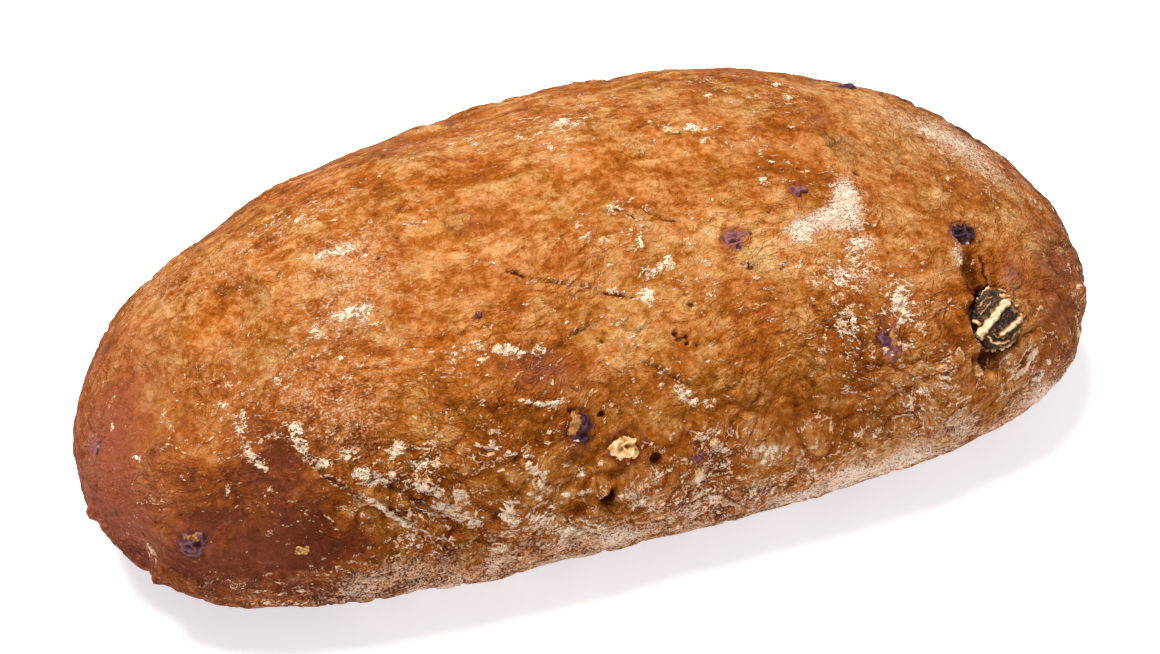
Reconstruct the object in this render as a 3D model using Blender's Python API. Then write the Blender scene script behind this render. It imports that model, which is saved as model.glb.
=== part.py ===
"""Christmas rye loaf: one oval, hand-shaped fruit loaf with raisins and nuts baked into its crust.

Frame: metres, +Z up, +X along the loaf's length, -Y towards its front wall. The origin is on the
table, under the middle of the loaf.

A place on the crust is (x, roll): x is millimetres along the length, and roll is the angle in
degrees about the loaf's spine, 0 at the top, 90 at the waist in front and -90 at the waist behind.
"""

import math

import bmesh
import bpy
from mathutils import Matrix, Vector, noise

MM = 0.001

# The loaf's driving dimensions
LOAF_LENGTH = 300 * MM
LOAF_WIDTH = 166 * MM
LOAF_HEIGHT = 86 * MM
WAIST_HEIGHT = 32 * MM  # the loaf is widest here, and curls in below
BASE_TRIM = 3 * MM  # how much of the round underside the tray has pressed flat
PLAN_FULLNESS = 2.2  # 2 is an ellipse from above, more is squarer
DOME_FULLNESS = 2.1
UNDERSIDE_FULLNESS = 2.8
END_WIDENING = 0.12  # the +X half is wider than the -X half
END_BLUNTNESS = 0.155
CROWN_SLOPE = -0.07  # the crown stands higher towards -X
SPINE_BEND = 16.5 * MM  # both ends bend this far forwards

LOAF_CELLS = (36, 20, 14)  # faces of the shaped solid along the length, across and up
UNEVENNESS = 0.9 * MM
UNEVEN_SCALE = 26 * MM
HALVINGS = 40  # steps in the search for a point on the crust
NORMAL_STEP = 0.5 * MM
STEEP = 0.9  # where the crust faces the loaf's end, its lengthwise axis is taken from +Y

# Broad swells and hollows: place, radii along and across the loaf, turn, height (mm and degrees)
SWELLS = {
    "front_lobe": dict(place=(28, 66), radii=(32, 16), turn=0, height=2.6),
    "heel_lobe": dict(place=(-110, 62), radii=(24, 17), turn=10, height=1.8),
    "end_cheek": dict(place=(112, 46), radii=(20, 24), turn=0, height=1.2),
    "end_valley": dict(place=(66, 52), radii=(9, 30), turn=8, height=-2.2),
    "crown_trough": dict(place=(-14, 40), radii=(42, 11), turn=-6, height=-2.0),
    "raisin_hollow": dict(place=(-24, 72), radii=(13, 11), turn=0, height=-1.4),
    "walnut_hollow": dict(place=(99, 70), radii=(11, 13), turn=0, height=-1.6),
    "rear_heel_flat": dict(place=(-92, -44), radii=(24, 22), turn=0, height=-2.6),
    "rear_dip": dict(place=(-8, -46), radii=(34, 17), turn=0, height=-3.0),
    "rear_lobe": dict(place=(24, -84), radii=(38, 16), turn=0, height=1.6),
    "rear_valley": dict(place=(-48, -76), radii=(10, 20), turn=-14, height=-1.6),
    "toe_nub": dict(place=(138, 78), radii=(7, 6), turn=0, height=1.4),
}

# Furrows where the dough was folded: places along each, half width and depth (mm)
FURROWS = {
    "heel_fold": dict(places=[(-101, 50), (-88, 62), (-74, 76), (-56, 89)], width=4.5, depth=1.5),
    "crown_fold": dict(places=[(-36, 30), (-18, 37), (4, 43), (18, 40)], width=4.0, depth=1.0),
    "rear_fold": dict(places=[(60, -48), (40, -60), (22, -74), (6, -86)], width=4.5, depth=1.4),
}

# Fruit and nuts: place, size along, across and through (mm), turn, and share sunk in the crust
RAISINS = {
    "raisin_shoulder": dict(place=(102, 49), size=(8.6, 6.8, 6.0), turn=20, sunk=0.60),
    "raisin_side": dict(place=(66, 69), size=(11.0, 6.4, 5.4), turn=84, sunk=0.68),
    "raisin_crown": dict(place=(34, 38), size=(8.8, 7.6, 5.0), turn=24, sunk=0.80),
    "raisin_crown_small": dict(place=(61, 24), size=(6.8, 4.8, 4.2), turn=8, sunk=0.76),
    "raisin_front": dict(place=(-27, 70), size=(13.2, 7.6, 5.6), turn=66, sunk=0.72),
    "raisin_brow": dict(place=(104, -50), size=(7.4, 5.4, 5.0), turn=0, sunk=0.62),
    "raisin_heel": dict(place=(-132, 77), size=(8.8, 8.2, 6.8), turn=0, sunk=0.72),
    "raisin_spine": dict(place=(-36, 7), size=(8.0, 6.6, 4.8), turn=14, sunk=0.74),
    "raisin_rear_heel": dict(place=(-98, -78), size=(9.0, 6.8, 5.6), turn=40, sunk=0.68),
    "raisin_rear_middle": dict(place=(-16, -78), size=(11.4, 7.0, 5.6), turn=-30, sunk=0.70),
    "raisin_rear_toe": dict(place=(74, -74), size=(8.4, 7.4, 5.8), turn=12, sunk=0.66),
}
NUTS = {
    "walnut": dict(place=(100, 71), size=(17.0, 15.0, 10.0), turn=52, sunk=0.66),
    "nut_front": dict(place=(-15, 76), size=(10.6, 9.2, 5.6), turn=-20, sunk=0.62),
    "nut_rear": dict(place=(34, -82), size=(9.8, 8.0, 5.6), turn=30, sunk=0.64),
}

# Holes torn in the crust beside them: place, size along, across and deep (mm), and turn
TEARS = {
    "walnut_cave": dict(place=(97, 79), size=(13.0, 9.0, 11.0), turn=20),
    "shoulder_groove": dict(place=(99, 60), size=(13.0, 4.2, 5.0), turn=78),
    "front_burst": dict(place=(-22, 86), size=(3.8, 3.4, 9.0), turn=0),
    "rear_burst": dict(place=(-60, -80), size=(5.0, 3.6, 7.0), turn=30),
}

SOCKET_GAP = 0.35 * MM  # between a piece of fruit and the crust around it

# How finely each kind of fruit is divided, and the share of its radius that its lumps stand up
RAISIN_FORM = dict(fineness=2, lumps=0.09)
NUT_FORM = dict(fineness=3, lumps=0.13)
LUMP_FREQUENCIES = (1.7, 3.9)  # the large lumps, and the small ones on them
SEED_STEP = Vector((3.1, 1.7, 2.3))  # how far apart in the noise two pieces are shaped

CRUST = dict(colour=(0.42, 0.18, 0.055, 1.0), roughness=0.62)
RAISIN = dict(colour=(0.045, 0.018, 0.028, 1.0), roughness=0.38)
NUT = dict(colour=(0.62, 0.46, 0.24, 1.0), roughness=0.55)


def clear_scene():
    for obj in list(bpy.data.objects):
        bpy.data.objects.remove(obj, do_unlink=True)


def new_collection(name):
    made = bpy.data.collections.new(name)
    bpy.context.scene.collection.children.link(made)
    return made


def new_material(name, colour, roughness):
    made = bpy.data.materials.new(name)
    made.use_nodes = True
    shader = made.node_tree.nodes["Principled BSDF"]
    shader.inputs["Base Color"].default_value = colour
    shader.inputs["Roughness"].default_value = roughness
    shader.inputs["Metallic"].default_value = 0.0
    return made


# --- The loaf's smooth form -------------------------------------------------------------------


def half_width(along):
    """Half the loaf's width, as a function of x as a share of the half length."""
    widening = END_WIDENING * along
    bluntness = END_BLUNTNESS * (along * along - 1 / 3)
    return LOAF_WIDTH / 2 * (1 + widening + bluntness)


def spine_y(along):
    return -SPINE_BEND * along * along


def form_point(direction):
    """The point of the smooth form for a direction on the unit sphere."""
    reach = math.hypot(direction.x, direction.y)
    angle = math.atan2(direction.y, direction.x)
    corner = abs(math.cos(angle)) ** PLAN_FULLNESS + abs(math.sin(angle)) ** PLAN_FULLNESS
    plan = reach * corner ** (-1 / PLAN_FULLNESS)
    along = plan * math.cos(angle)
    across = plan * math.sin(angle)
    if direction.z >= 0:
        rise = (LOAF_HEIGHT - WAIST_HEIGHT) * rounded(reach, DOME_FULLNESS)
    else:
        rise = -(WAIST_HEIGHT + BASE_TRIM) * rounded(reach, UNDERSIDE_FULLNESS)
    full = (WAIST_HEIGHT + BASE_TRIM + rise) * (1 + CROWN_SLOPE * along)
    return Vector((
        along * LOAF_LENGTH / 2,
        across * half_width(along) + spine_y(along),
        max(full - BASE_TRIM, 0.0),
    ))


def rounded(reach, fullness):
    return max(1 - min(reach, 1.0) ** fullness, 0.0) ** (1 / fullness)


def outside(point):
    """Above zero where a point lies outside the smooth form, and below zero inside it."""
    along = point.x / (LOAF_LENGTH / 2)
    across = (point.y - spine_y(along)) / half_width(along)
    reach = (abs(along) ** PLAN_FULLNESS + abs(across) ** PLAN_FULLNESS) ** (1 / PLAN_FULLNESS)
    rise = (point.z + BASE_TRIM) / (1 + CROWN_SLOPE * along) - WAIST_HEIGHT - BASE_TRIM
    if rise >= 0:
        share = rise / (LOAF_HEIGHT - WAIST_HEIGHT)
        return reach**DOME_FULLNESS + share**DOME_FULLNESS - 1
    share = -rise / (WAIST_HEIGHT + BASE_TRIM)
    return reach**UNDERSIDE_FULLNESS + share**UNDERSIDE_FULLNESS - 1


def crust_point(place):
    """The point of the smooth form at (x in mm, roll in degrees)."""
    x, roll = place[0] * MM, math.radians(place[1])
    spine = Vector((x, spine_y(x / (LOAF_LENGTH / 2)), WAIST_HEIGHT))
    out = Vector((0, -math.sin(roll), math.cos(roll)))
    near, far = 0.0, LOAF_WIDTH
    for _ in range(HALVINGS):
        middle = (near + far) / 2
        if outside(spine + out * middle) > 0:
            far = middle
        else:
            near = middle
    return spine + out * near


def crust_frame(place, turn):
    """The point at a place, with its axes along the loaf, across it and out of the crust."""
    point = crust_point(place)
    steps = [axis * NORMAL_STEP for axis in Matrix.Identity(3)]
    out = Vector([outside(point + step) - outside(point - step) for step in steps]).normalized()
    lengthwise = Vector((0, 1, 0)) if abs(out.x) > STEEP else Vector((1, 0, 0))
    lengthwise = (lengthwise - out * lengthwise.dot(out)).normalized()
    lengthwise = Matrix.Rotation(math.radians(turn), 3, out) @ lengthwise
    return point, lengthwise, out.cross(lengthwise), out


# --- Relief: swells, furrows and the unevenness of hand-shaped dough ----------------------------


def swell_height(point, swell):
    """How far a swell lifts a point, with its frame from crust_frame."""
    centre, lengthwise, across, out = swell["frame"]
    offset = point - centre
    along_share = offset.dot(lengthwise) / (swell["radii"][0] * MM)
    across_share = offset.dot(across) / (swell["radii"][1] * MM)
    through_share = offset.dot(out) / (max(swell["radii"]) * MM)
    distance = along_share**2 + across_share**2 + through_share**2
    return swell["height"] * MM * math.exp(-distance)


def furrow_depth(point, furrow):
    distance = min(
        distance_to_segment(point, start, end)
        for start, end in zip(furrow["path"], furrow["path"][1:])
    )
    return furrow["depth"] * MM * math.exp(-((distance / (furrow["width"] * MM)) ** 2))


def distance_to_segment(point, start, end):
    run = end - start
    share = max(0.0, min(1.0, (point - start).dot(run) / run.length_squared))
    return (point - start - run * share).length


def prepare_relief():
    """The swells with their frames on the crust, and the furrows with their paths along it."""
    swells = [{**s, "frame": crust_frame(s["place"], s["turn"])} for s in SWELLS.values()]
    furrows = [{**f, "path": [crust_point(p) for p in f["places"]]} for f in FURROWS.values()]
    return swells, furrows


def relief_lift(point, relief):
    """How far the relief lifts a point of the smooth form."""
    swells, furrows = relief
    lift = sum(swell_height(point, s) for s in swells)
    lift -= sum(furrow_depth(point, f) for f in furrows)
    return lift + UNEVENNESS * noise.noise(point / UNEVEN_SCALE)


def add_relief(mesh, relief):
    mesh.normal_update()
    moves = [v.normal * relief_lift(v.co, relief) for v in mesh.verts]
    for vertex, move in zip(mesh.verts, moves):
        on_table = vertex.co.z <= 0.0
        vertex.co += Vector((move.x, move.y, 0.0 if on_table else move.z))
        vertex.co.z = max(vertex.co.z, 0.0)


def centre_on_origin(mesh):
    """Shifts the loaf so that the middle of its box is over the origin, and returns the shift."""
    xs = [v.co.x for v in mesh.verts]
    ys = [v.co.y for v in mesh.verts]
    shift = Vector((-(min(xs) + max(xs)) / 2, -(min(ys) + max(ys)) / 2, 0))
    bmesh.ops.translate(mesh, verts=mesh.verts, vec=shift)
    return shift


def even_sphere_direction(corner):
    """Turns a point of the cube's surface into a direction, with even steps between cuts."""
    return Vector([math.tan(c * math.pi / 4) for c in corner]).normalized()


def build_loaf(relief, collection, material):
    mesh = bmesh.new()
    bmesh.ops.create_cube(mesh, size=2)
    for axis, cells in enumerate(LOAF_CELLS):
        normal = Vector([1.0 if i == axis else 0.0 for i in range(3)])
        for cut in range(1, cells):
            bmesh.ops.bisect_plane(
                mesh,
                geom=mesh.verts[:] + mesh.edges[:] + mesh.faces[:],
                dist=1e-6,
                plane_co=normal * (2 * cut / cells - 1),
                plane_no=normal,
            )
    for vertex in mesh.verts:
        vertex.co = form_point(even_sphere_direction(vertex.co))
    bmesh.ops.recalc_face_normals(mesh, faces=mesh.faces)
    add_relief(mesh, relief)
    shift = centre_on_origin(mesh)
    return finish_object("loaf", mesh, collection, material), shift


# --- Fruit, nuts and the sockets and tears cut for them ------------------------------------------


def lumpy_radius(direction, seed, lumps):
    """A raisin's or nut's radius in a direction, as a share: a few rounded wrinkles."""
    large, small = (noise.noise(direction * f + SEED_STEP * seed) for f in LUMP_FREQUENCIES)
    return 1 + lumps * (2 * large + small)


def fruit_mesh(fruit, kind, seed, grow=0.0):
    """A closed lumpy ellipsoid about the origin, grown by a gap all round."""
    mesh = bmesh.new()
    bmesh.ops.create_icosphere(mesh, subdivisions=kind["fineness"], radius=1)
    for vertex in mesh.verts:
        direction = vertex.co.normalized()
        radius = lumpy_radius(direction, seed, kind["lumps"])
        vertex.co = Vector([d * radius * s * MM / 2 for d, s in zip(direction, fruit["size"])])
    mesh.normal_update()
    for vertex, normal in [(v, v.normal.copy()) for v in mesh.verts]:
        vertex.co += normal * grow
    return mesh


def placement(piece, depth, relief, shift):
    """The matrix that puts a piece on the crust, with its middle this deep below the surface."""
    point, lengthwise, across, out = crust_frame(piece["place"], piece["turn"])
    matrix = Matrix((lengthwise, across, out)).transposed().to_4x4()
    matrix.translation = point + shift + out * (relief_lift(point, relief) - depth)
    return matrix


def finish_object(name, mesh, collection, material, matrix=None):
    data = bpy.data.meshes.new(name)
    mesh.to_mesh(data)
    mesh.free()
    obj = bpy.data.objects.new(name, data)
    collection.objects.link(obj)
    data.materials.append(material)
    data.shade_smooth()
    if matrix is not None:
        obj.matrix_world = matrix
    return obj


def hide_cutter(obj):
    obj.display_type = "WIRE"
    obj.hide_render = True


def build_fruit(name, fruit, kind, seed, matrix, parts, cutters, material):
    """One piece of fruit, and the cutter of the socket that it sits in."""
    finish_object(name, fruit_mesh(fruit, kind, seed), parts, material, matrix)
    socket = fruit_mesh(fruit, kind, seed, grow=SOCKET_GAP)
    hide_cutter(finish_object(f"cut_{name}", socket, cutters, material, matrix))


def cut_sockets(loaf, cutters):
    for cutter in cutters.objects:
        modifier = loaf.modifiers.new(cutter.name, "BOOLEAN")
        modifier.operation = "DIFFERENCE"
        modifier.solver = "EXACT"
        modifier.object = cutter


def main():
    clear_scene()
    parts = new_collection("christmas_rye_bread")
    cutters = new_collection("cutters")
    crust = new_material("crust", **CRUST)
    raisin = new_material("raisin", **RAISIN)
    nut = new_material("nut", **NUT)
    relief = prepare_relief()
    loaf, shift = build_loaf(relief, parts, crust)
    seed = 0
    for pieces, kind, material in ((RAISINS, RAISIN_FORM, raisin), (NUTS, NUT_FORM, nut)):
        for name, fruit in pieces.items():
            seed += 1
            depth = (fruit["sunk"] - 0.5) * fruit["size"][2] * MM
            matrix = placement(fruit, depth, relief, shift)
            build_fruit(name, fruit, kind, seed, matrix, parts, cutters, material)
    for name, tear in TEARS.items():
        seed += 1
        mesh = fruit_mesh(tear, RAISIN_FORM, seed)
        matrix = placement(tear, 0.0, relief, shift)
        hide_cutter(finish_object(f"cut_{name}", mesh, cutters, crust, matrix))
    cut_sockets(loaf, cutters)


main()
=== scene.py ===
import math
import random

import bmesh
import bpy
import numpy as np
from mathutils import Matrix, Vector, noise
from mathutils.bvhtree import BVHTree


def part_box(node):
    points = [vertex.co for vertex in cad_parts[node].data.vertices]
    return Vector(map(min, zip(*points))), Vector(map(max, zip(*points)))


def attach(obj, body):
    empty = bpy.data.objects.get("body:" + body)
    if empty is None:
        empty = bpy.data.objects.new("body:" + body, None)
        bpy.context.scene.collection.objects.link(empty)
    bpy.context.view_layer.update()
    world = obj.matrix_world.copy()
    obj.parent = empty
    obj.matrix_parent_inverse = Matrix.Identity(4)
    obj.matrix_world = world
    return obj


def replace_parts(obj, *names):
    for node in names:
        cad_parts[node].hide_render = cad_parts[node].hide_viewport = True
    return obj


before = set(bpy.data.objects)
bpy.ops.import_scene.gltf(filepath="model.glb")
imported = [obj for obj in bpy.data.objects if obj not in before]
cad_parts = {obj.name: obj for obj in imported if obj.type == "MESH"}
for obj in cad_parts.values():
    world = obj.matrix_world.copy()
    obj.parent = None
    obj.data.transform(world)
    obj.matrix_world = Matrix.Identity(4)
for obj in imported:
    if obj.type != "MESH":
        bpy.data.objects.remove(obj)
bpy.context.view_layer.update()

mm = 0.001

# Christmas rye loaf. The crust is one fine mesh laid over the CAD loaf, with its folds, cracks, pores
# and flour. Each raisin and nut is a wrinkled piece of its own in its CAD socket.
# The crust is worked out in millimetres. Places marked as pixels are the photo's own.


# The camera, and the way from a pixel to the crust and back

photoView = {
    "width": 1160, "height": 654,             # pixels
    "azimuth": -23.6, "elevation": 40.0,      # degrees round the loaf and above the table
    "distance": 1.05,                         # metres from the aim
    "aim": (0.0, 0.0014, 0.045),              # metres, inside the loaf
    "aimPixel": (566.94, 284.81),             # where the aim shows
    "focal": 3657.8,                          # pixels
    "sensor": 36.0,                           # millimetres
}


def photoAxes():
    view = photoView
    azimuth, elevation = math.radians(view["azimuth"]), math.radians(view["elevation"])
    level = math.cos(elevation)
    back = Vector((math.sin(azimuth) * level, -math.cos(azimuth) * level, math.sin(elevation)))
    right = Vector((math.cos(azimuth), math.sin(azimuth), 0))
    up = back.cross(right)
    eye = Vector(view["aim"]) + back * view["distance"]
    aside = (view["width"] / 2 - view["aimPixel"][0]) / view["focal"]
    below = (view["height"] / 2 - view["aimPixel"][1]) / view["focal"]
    back = (back - right * aside + up * below).normalized()
    right = (right - back * right.dot(back)).normalized()
    return eye, right, back.cross(right), back


eye, rightward, upward, backward = photoAxes()


def makeCamera():
    data = bpy.data.cameras.new("photoCamera")
    data.sensor_width = photoView["sensor"]
    data.lens = photoView["focal"] * photoView["sensor"] / photoView["width"]
    data.clip_start, data.clip_end = 0.05, 50
    camera = newObject("photoCamera", data)
    turn = Matrix((rightward, upward, backward)).transposed().to_4x4()
    camera.matrix_world = Matrix.Translation(eye) @ turn
    bpy.context.scene.camera = camera


def toPixels(points):
    # pixels (n, 2) of points (n, 3) in millimetres
    offset = points - np.array(eye) / mm
    depth = -(offset @ np.array(backward))
    across = photoView["width"] / 2 + photoView["focal"] * (offset @ np.array(rightward)) / depth
    down = photoView["height"] / 2 - photoView["focal"] * (offset @ np.array(upward)) / depth
    return np.stack([across, down], 1)


def pixelRay(pixel):
    aside = (pixel[0] - photoView["width"] / 2) / photoView["focal"]
    below = (pixel[1] - photoView["height"] / 2) / photoView["focal"]
    return (rightward * aside - upward * below - backward).normalized()


def seenAt(tree, pixel):
    # the point, in millimetres, and the normal of the surface that shows at a pixel
    place, normal, _, _ = tree.ray_cast(eye / mm, pixelRay(pixel))
    return place, normal


# Meshes as arrays of points in millimetres

def newObject(name, data):
    obj = bpy.data.objects.new(name, data)
    bpy.context.scene.collection.objects.link(obj)
    return obj


def meshFrom(bm, name):
    mesh = bpy.data.meshes.new(name)
    bm.to_mesh(mesh)
    bm.free()
    return mesh


def readArray(items, key, width, kind=np.float32):
    flat = np.empty(len(items) * width, kind)
    items.foreach_get(key, flat)
    return flat.reshape(-1, width)


def meshPoints(mesh):
    return readArray(mesh.vertices, "co", 3).astype(float) / mm


def meshNormals(mesh):
    return readArray(mesh.vertex_normals, "vector", 3).astype(float)


def meshEdges(mesh):
    return readArray(mesh.edges, "vertices", 2, np.int32)


def setPoints(mesh, points):
    mesh.vertices.foreach_set("co", (points * mm).astype(np.float32).ravel())
    mesh.update()


def storeValues(mesh, values):
    for name, value in values.items():
        kind, key = ("FLOAT", "value") if value.ndim == 1 else ("FLOAT_VECTOR", "vector")
        attribute = mesh.attributes.new(name, kind, "POINT")
        attribute.data.foreach_set(key, value.astype(np.float32).ravel())


def neighbourMean(values, edges):
    count = len(values)
    degree = np.bincount(edges.ravel(), minlength=count)
    columns = []
    for column in values.T:
        total = np.bincount(edges[:, 0], column[edges[:, 1]], count)
        total += np.bincount(edges[:, 1], column[edges[:, 0]], count)
        columns.append(total / degree)
    return np.stack(columns, 1)


def smoothed(points, edges, rounds):
    # smoothing that doesn't shrink: each step in is followed by a step out
    for _ in range(rounds):
        for share in (0.5, -0.53):
            points = points + share * (neighbourMean(points, edges) - points)
    return points


def clipped(values):
    return np.clip(values, 0, 1)


def smoothStep(values, low, high):
    share = clipped((values - low) / (high - low))
    return share * share * (3 - 2 * share)


def bell(values, width=1.0):
    return np.exp(-(values / width) ** 2)


def distanceTo(points, place):
    return np.linalg.norm(points - np.array(place), axis=1)


def noiseAt(points, size, shift=(0, 0, 0)):
    offset = Vector(shift)
    return np.array([noise.noise(Vector(p) / size + offset) for p in points]).reshape(-1)


def evaluatedMesh(obj):
    graph = bpy.context.evaluated_depsgraph_get()
    return bpy.data.meshes.new_from_object(obj.evaluated_get(graph), depsgraph=graph)


def mergedCopy(node):
    # a CAD node's mesh with its doubled points merged and no material
    bm = bmesh.new()
    bm.from_mesh(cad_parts[node].data)
    bmesh.ops.remove_doubles(bm, verts=bm.verts, dist=1e-6)
    return meshFrom(bm, node + "Copy")


def treeOf(mesh):
    polygons = [tuple(p.vertices) for p in mesh.polygons]
    return BVHTree.FromPolygons([v.co / mm for v in mesh.vertices], polygons)


# Shader helpers

class Wire:
    # a node's output, which adds, multiplies and so on as a number does
    def __init__(self, output):
        self.output, self.tree = output, output.id_data

    def __add__(self, second):
        return calc("ADD", self, second)

    def __sub__(self, second):
        return calc("SUBTRACT", self, second)

    def __rsub__(self, first):
        return calc("SUBTRACT", first, self)

    def __mul__(self, second):
        return calc("MULTIPLY", self, second)

    def __truediv__(self, second):
        return calc("DIVIDE", self, second)

    def __rtruediv__(self, first):
        return calc("DIVIDE", first, self)

    def __abs__(self):
        return calc("ABSOLUTE", self)


def plug(node, sockets):
    # fills a node's inputs, by name or number, with values or wires
    for key, value in sockets.items():
        if isinstance(value, Wire):
            value.tree.links.new(value.output, node.inputs[key])
        else:
            node.inputs[key].default_value = value


def newNode(tree, kind, sockets=(), **settings):
    node = tree.nodes.new("ShaderNode" + kind)
    for key, value in settings.items():
        setattr(node, key, value)
    plug(node, dict(sockets))
    return node


def put(tree, kind, sockets=(), output=0, **settings):
    # a new node, as the wire from one of its outputs
    return Wire(newNode(tree, kind, sockets, **settings).outputs[output])


def calc(operation, first, second=0.0, clamp=False):
    tree = (first if isinstance(first, Wire) else second).tree
    return put(tree, "Math", {0: first, 1: second}, operation=operation, use_clamp=clamp)


def largest(first, second):
    return calc("MAXIMUM", first, second)


def swayed(value, wander, strength):
    # a value made uneven by noise that lies about 0.5
    return value + (wander - 0.5) * strength


def ranged(value, low, high, newLow=0.0, newHigh=1.0):
    # smooth steps from newLow at low to newHigh at high
    sockets = {"Value": value, "From Min": low, "From Max": high, "To Min": newLow, "To Max": newHigh}
    return put(value.tree, "MapRange", sockets, interpolation_type="SMOOTHSTEP")


def bandOf(value, low, high, soft):
    # 1 between low and high, with soft edges
    return ranged(value, low, low + soft) * ranged(value, high - soft, high, 1.0, 0.0)


def stored(tree, name, output="Fac"):
    return put(tree, "Attribute", output=output, attribute_name=name)


def grainOf(vector, scale, detail=2.0, roughness=0.5, curl=0.0):
    sockets = {"Vector": vector, "Scale": scale, "Detail": detail, "Roughness": roughness}
    return put(vector.tree, "TexNoise", {**sockets, "Distortion": curl})


def stretched(vector, factors):
    return put(vector.tree, "VectorMath", {0: vector, 1: factors}, operation="MULTIPLY")


def inMillimetres(tree):
    return stretched(put(tree, "TexCoord", output="Object"), (1000, 1000, 1000))


def blended(factor, first, second, mode="MIX"):
    first, second = (c if isinstance(c, Wire) else (*c, 1) for c in (first, second))
    return put(factor.tree, "Mix", {0: factor, 6: first, 7: second}, 2,
               data_type="RGBA", blend_type=mode, clamp_factor=True)


def rampOf(value, stops):
    node = newNode(value.tree, "ValToRGB", {"Fac": value})
    while len(node.color_ramp.elements) < len(stops):
        node.color_ramp.elements.new(0.5)
    for element, (place, colour) in zip(node.color_ramp.elements, stops):
        element.position = place
        element.color = (*colour, 1)
    return Wire(node.outputs["Color"])


def bumped(height, strength, distance):
    # distance in millimetres
    return put(height.tree, "Bump", {"Strength": strength, "Distance": distance * mm, "Height": height})


def newGroup(name, vectors, values, results):
    # an empty group, the wires from its inputs, and the node that takes its results
    group = bpy.data.node_groups.new(name, "ShaderNodeTree")
    kinds = ((vectors, "INPUT", "Vector"), (values, "INPUT", "Float"), (results, "OUTPUT", "Float"))
    for names, way, kind in kinds:
        for socket in names:
            group.interface.new_socket(name=socket, in_out=way, socket_type="NodeSocket" + kind)
    given = {output.name: Wire(output) for output in group.nodes.new("NodeGroupInput").outputs}
    return group, given, group.nodes.new("NodeGroupOutput")


def placeGroup(tree, group, **sockets):
    node = newNode(tree, "Group", sockets, node_tree=group)
    return {output.name: Wire(output) for output in node.outputs}


def newMaterial(name, roughness, specular):
    material = bpy.data.materials.new(name)
    material.use_nodes = True
    shader = material.node_tree.nodes["Principled BSDF"]
    plug(shader, {"Roughness": roughness, "Specular IOR Level": specular})
    return material, material.node_tree, shader


# Light and floor

studio = {
    "world": 0.36, "worldColour": (1.0, 0.985, 0.95),
    "key": dict(place=(-0.30, 0.19, 1.45), size=0.8, power=37, colour=(1.0, 0.98, 0.94)),
    "fill": dict(place=(0.3, -1.5, 0.9), size=1.6, power=2, colour=(1.0, 0.98, 0.96)),
    "floor": 0.80, "floorGlow": 0.63, "glowColour": (0.93, 0.94, 1.0),
    "floorSize": 12.0,       # metres
}


def areaLight(name, place, size, power, colour):
    data = bpy.data.lights.new(name, "AREA")
    data.shape = "DISK"
    data.size, data.energy, data.color = size, power, colour
    light = newObject(name, data)
    light.location = place
    light.rotation_mode = "QUATERNION"
    light.rotation_quaternion = (Vector(place) - Vector(photoView["aim"])).to_track_quat("Z", "Y")


def makeStudio():
    world = bpy.data.worlds.new("paleRoom")
    world.use_nodes = True
    background = world.node_tree.nodes["Background"]
    plug(background, {"Color": (*studio["worldColour"], 1), "Strength": studio["world"]})
    bpy.context.scene.world = world
    bpy.context.scene.view_settings.view_transform = "Standard"
    areaLight("keyLight", **studio["key"])
    areaLight("fillLight", **studio["fill"])
    bm = bmesh.new()
    bmesh.ops.create_grid(bm, x_segments=1, y_segments=1, size=studio["floorSize"] / 2)
    floor = newObject("floor", meshFrom(bm, "floor"))
    material, _, shader = newMaterial("paleFloor", 0.9, 0.1)
    plug(shader, {
        "Base Color": (*[studio["floor"]] * 3, 1),
        "Emission Color": (*studio["glowColour"], 1), "Emission Strength": studio["floorGlow"],
    })
    floor.data.materials.append(material)


makeCamera()
makeStudio()
print("camera, light and floor ready")


# Effects that the crust's material is made of

# where each kind of flour starts to show, how far more flour lowers that, and how soft its edge is
flourMarks = {
    "clumps": (0.755, 0.36, 0.03), "flecks": (0.64, 0.40, 0.06), "dust": (0.77, 0.20, 0.05),
    "smallChips": (0.95, 1.05, 0.05), "largeChips": (1.06, 0.76, 0.05),
}


def drawnOut(flow, size, stretch):
    # the flow scaled so that noise has this size across it and is drawn out along it
    thin = 1.0 / size
    return stretched(flow, put(flow.tree, "CombineXYZ", {"X": thin / stretch, "Y": thin, "Z": thin * 0.6}))


def makeStreaks():
    # pulled dough: noise drawn out along the flow of the crust
    group, given, result = newGroup("doughStreaks", ["Flow"], ["Size", "Stretch", "Detail"], ["Value"])
    vector = drawnOut(given["Flow"], given["Size"], given["Stretch"])
    plug(result, {"Value": ranged(grainOf(vector, 1.0, given["Detail"], 0.6, 0.4), 0.3, 0.7)})
    return group


def makeFolds():
    # drawn folds of skin: the creases between them, a thin raised lip beside each, and their swell
    results = ["Crease", "Lip", "Swell"]
    group, given, result = newGroup("foldedSkin", ["Flow"], ["Across", "Stretch", "Curl"], results)
    vector = drawnOut(given["Flow"], given["Across"], given["Stretch"])
    side = grainOf(vector, 1.0, 1.5, 0.5, given["Curl"]) - 0.5
    depth = abs(side)
    plug(result, {
        "Crease": ranged(depth, 0.004, 0.028, 1.0, 0.0),
        "Lip": bandOf(side, 0.016, 0.095, 0.03),
        "Swell": ranged(depth, 0.0, 0.15),
    })
    return group


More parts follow.
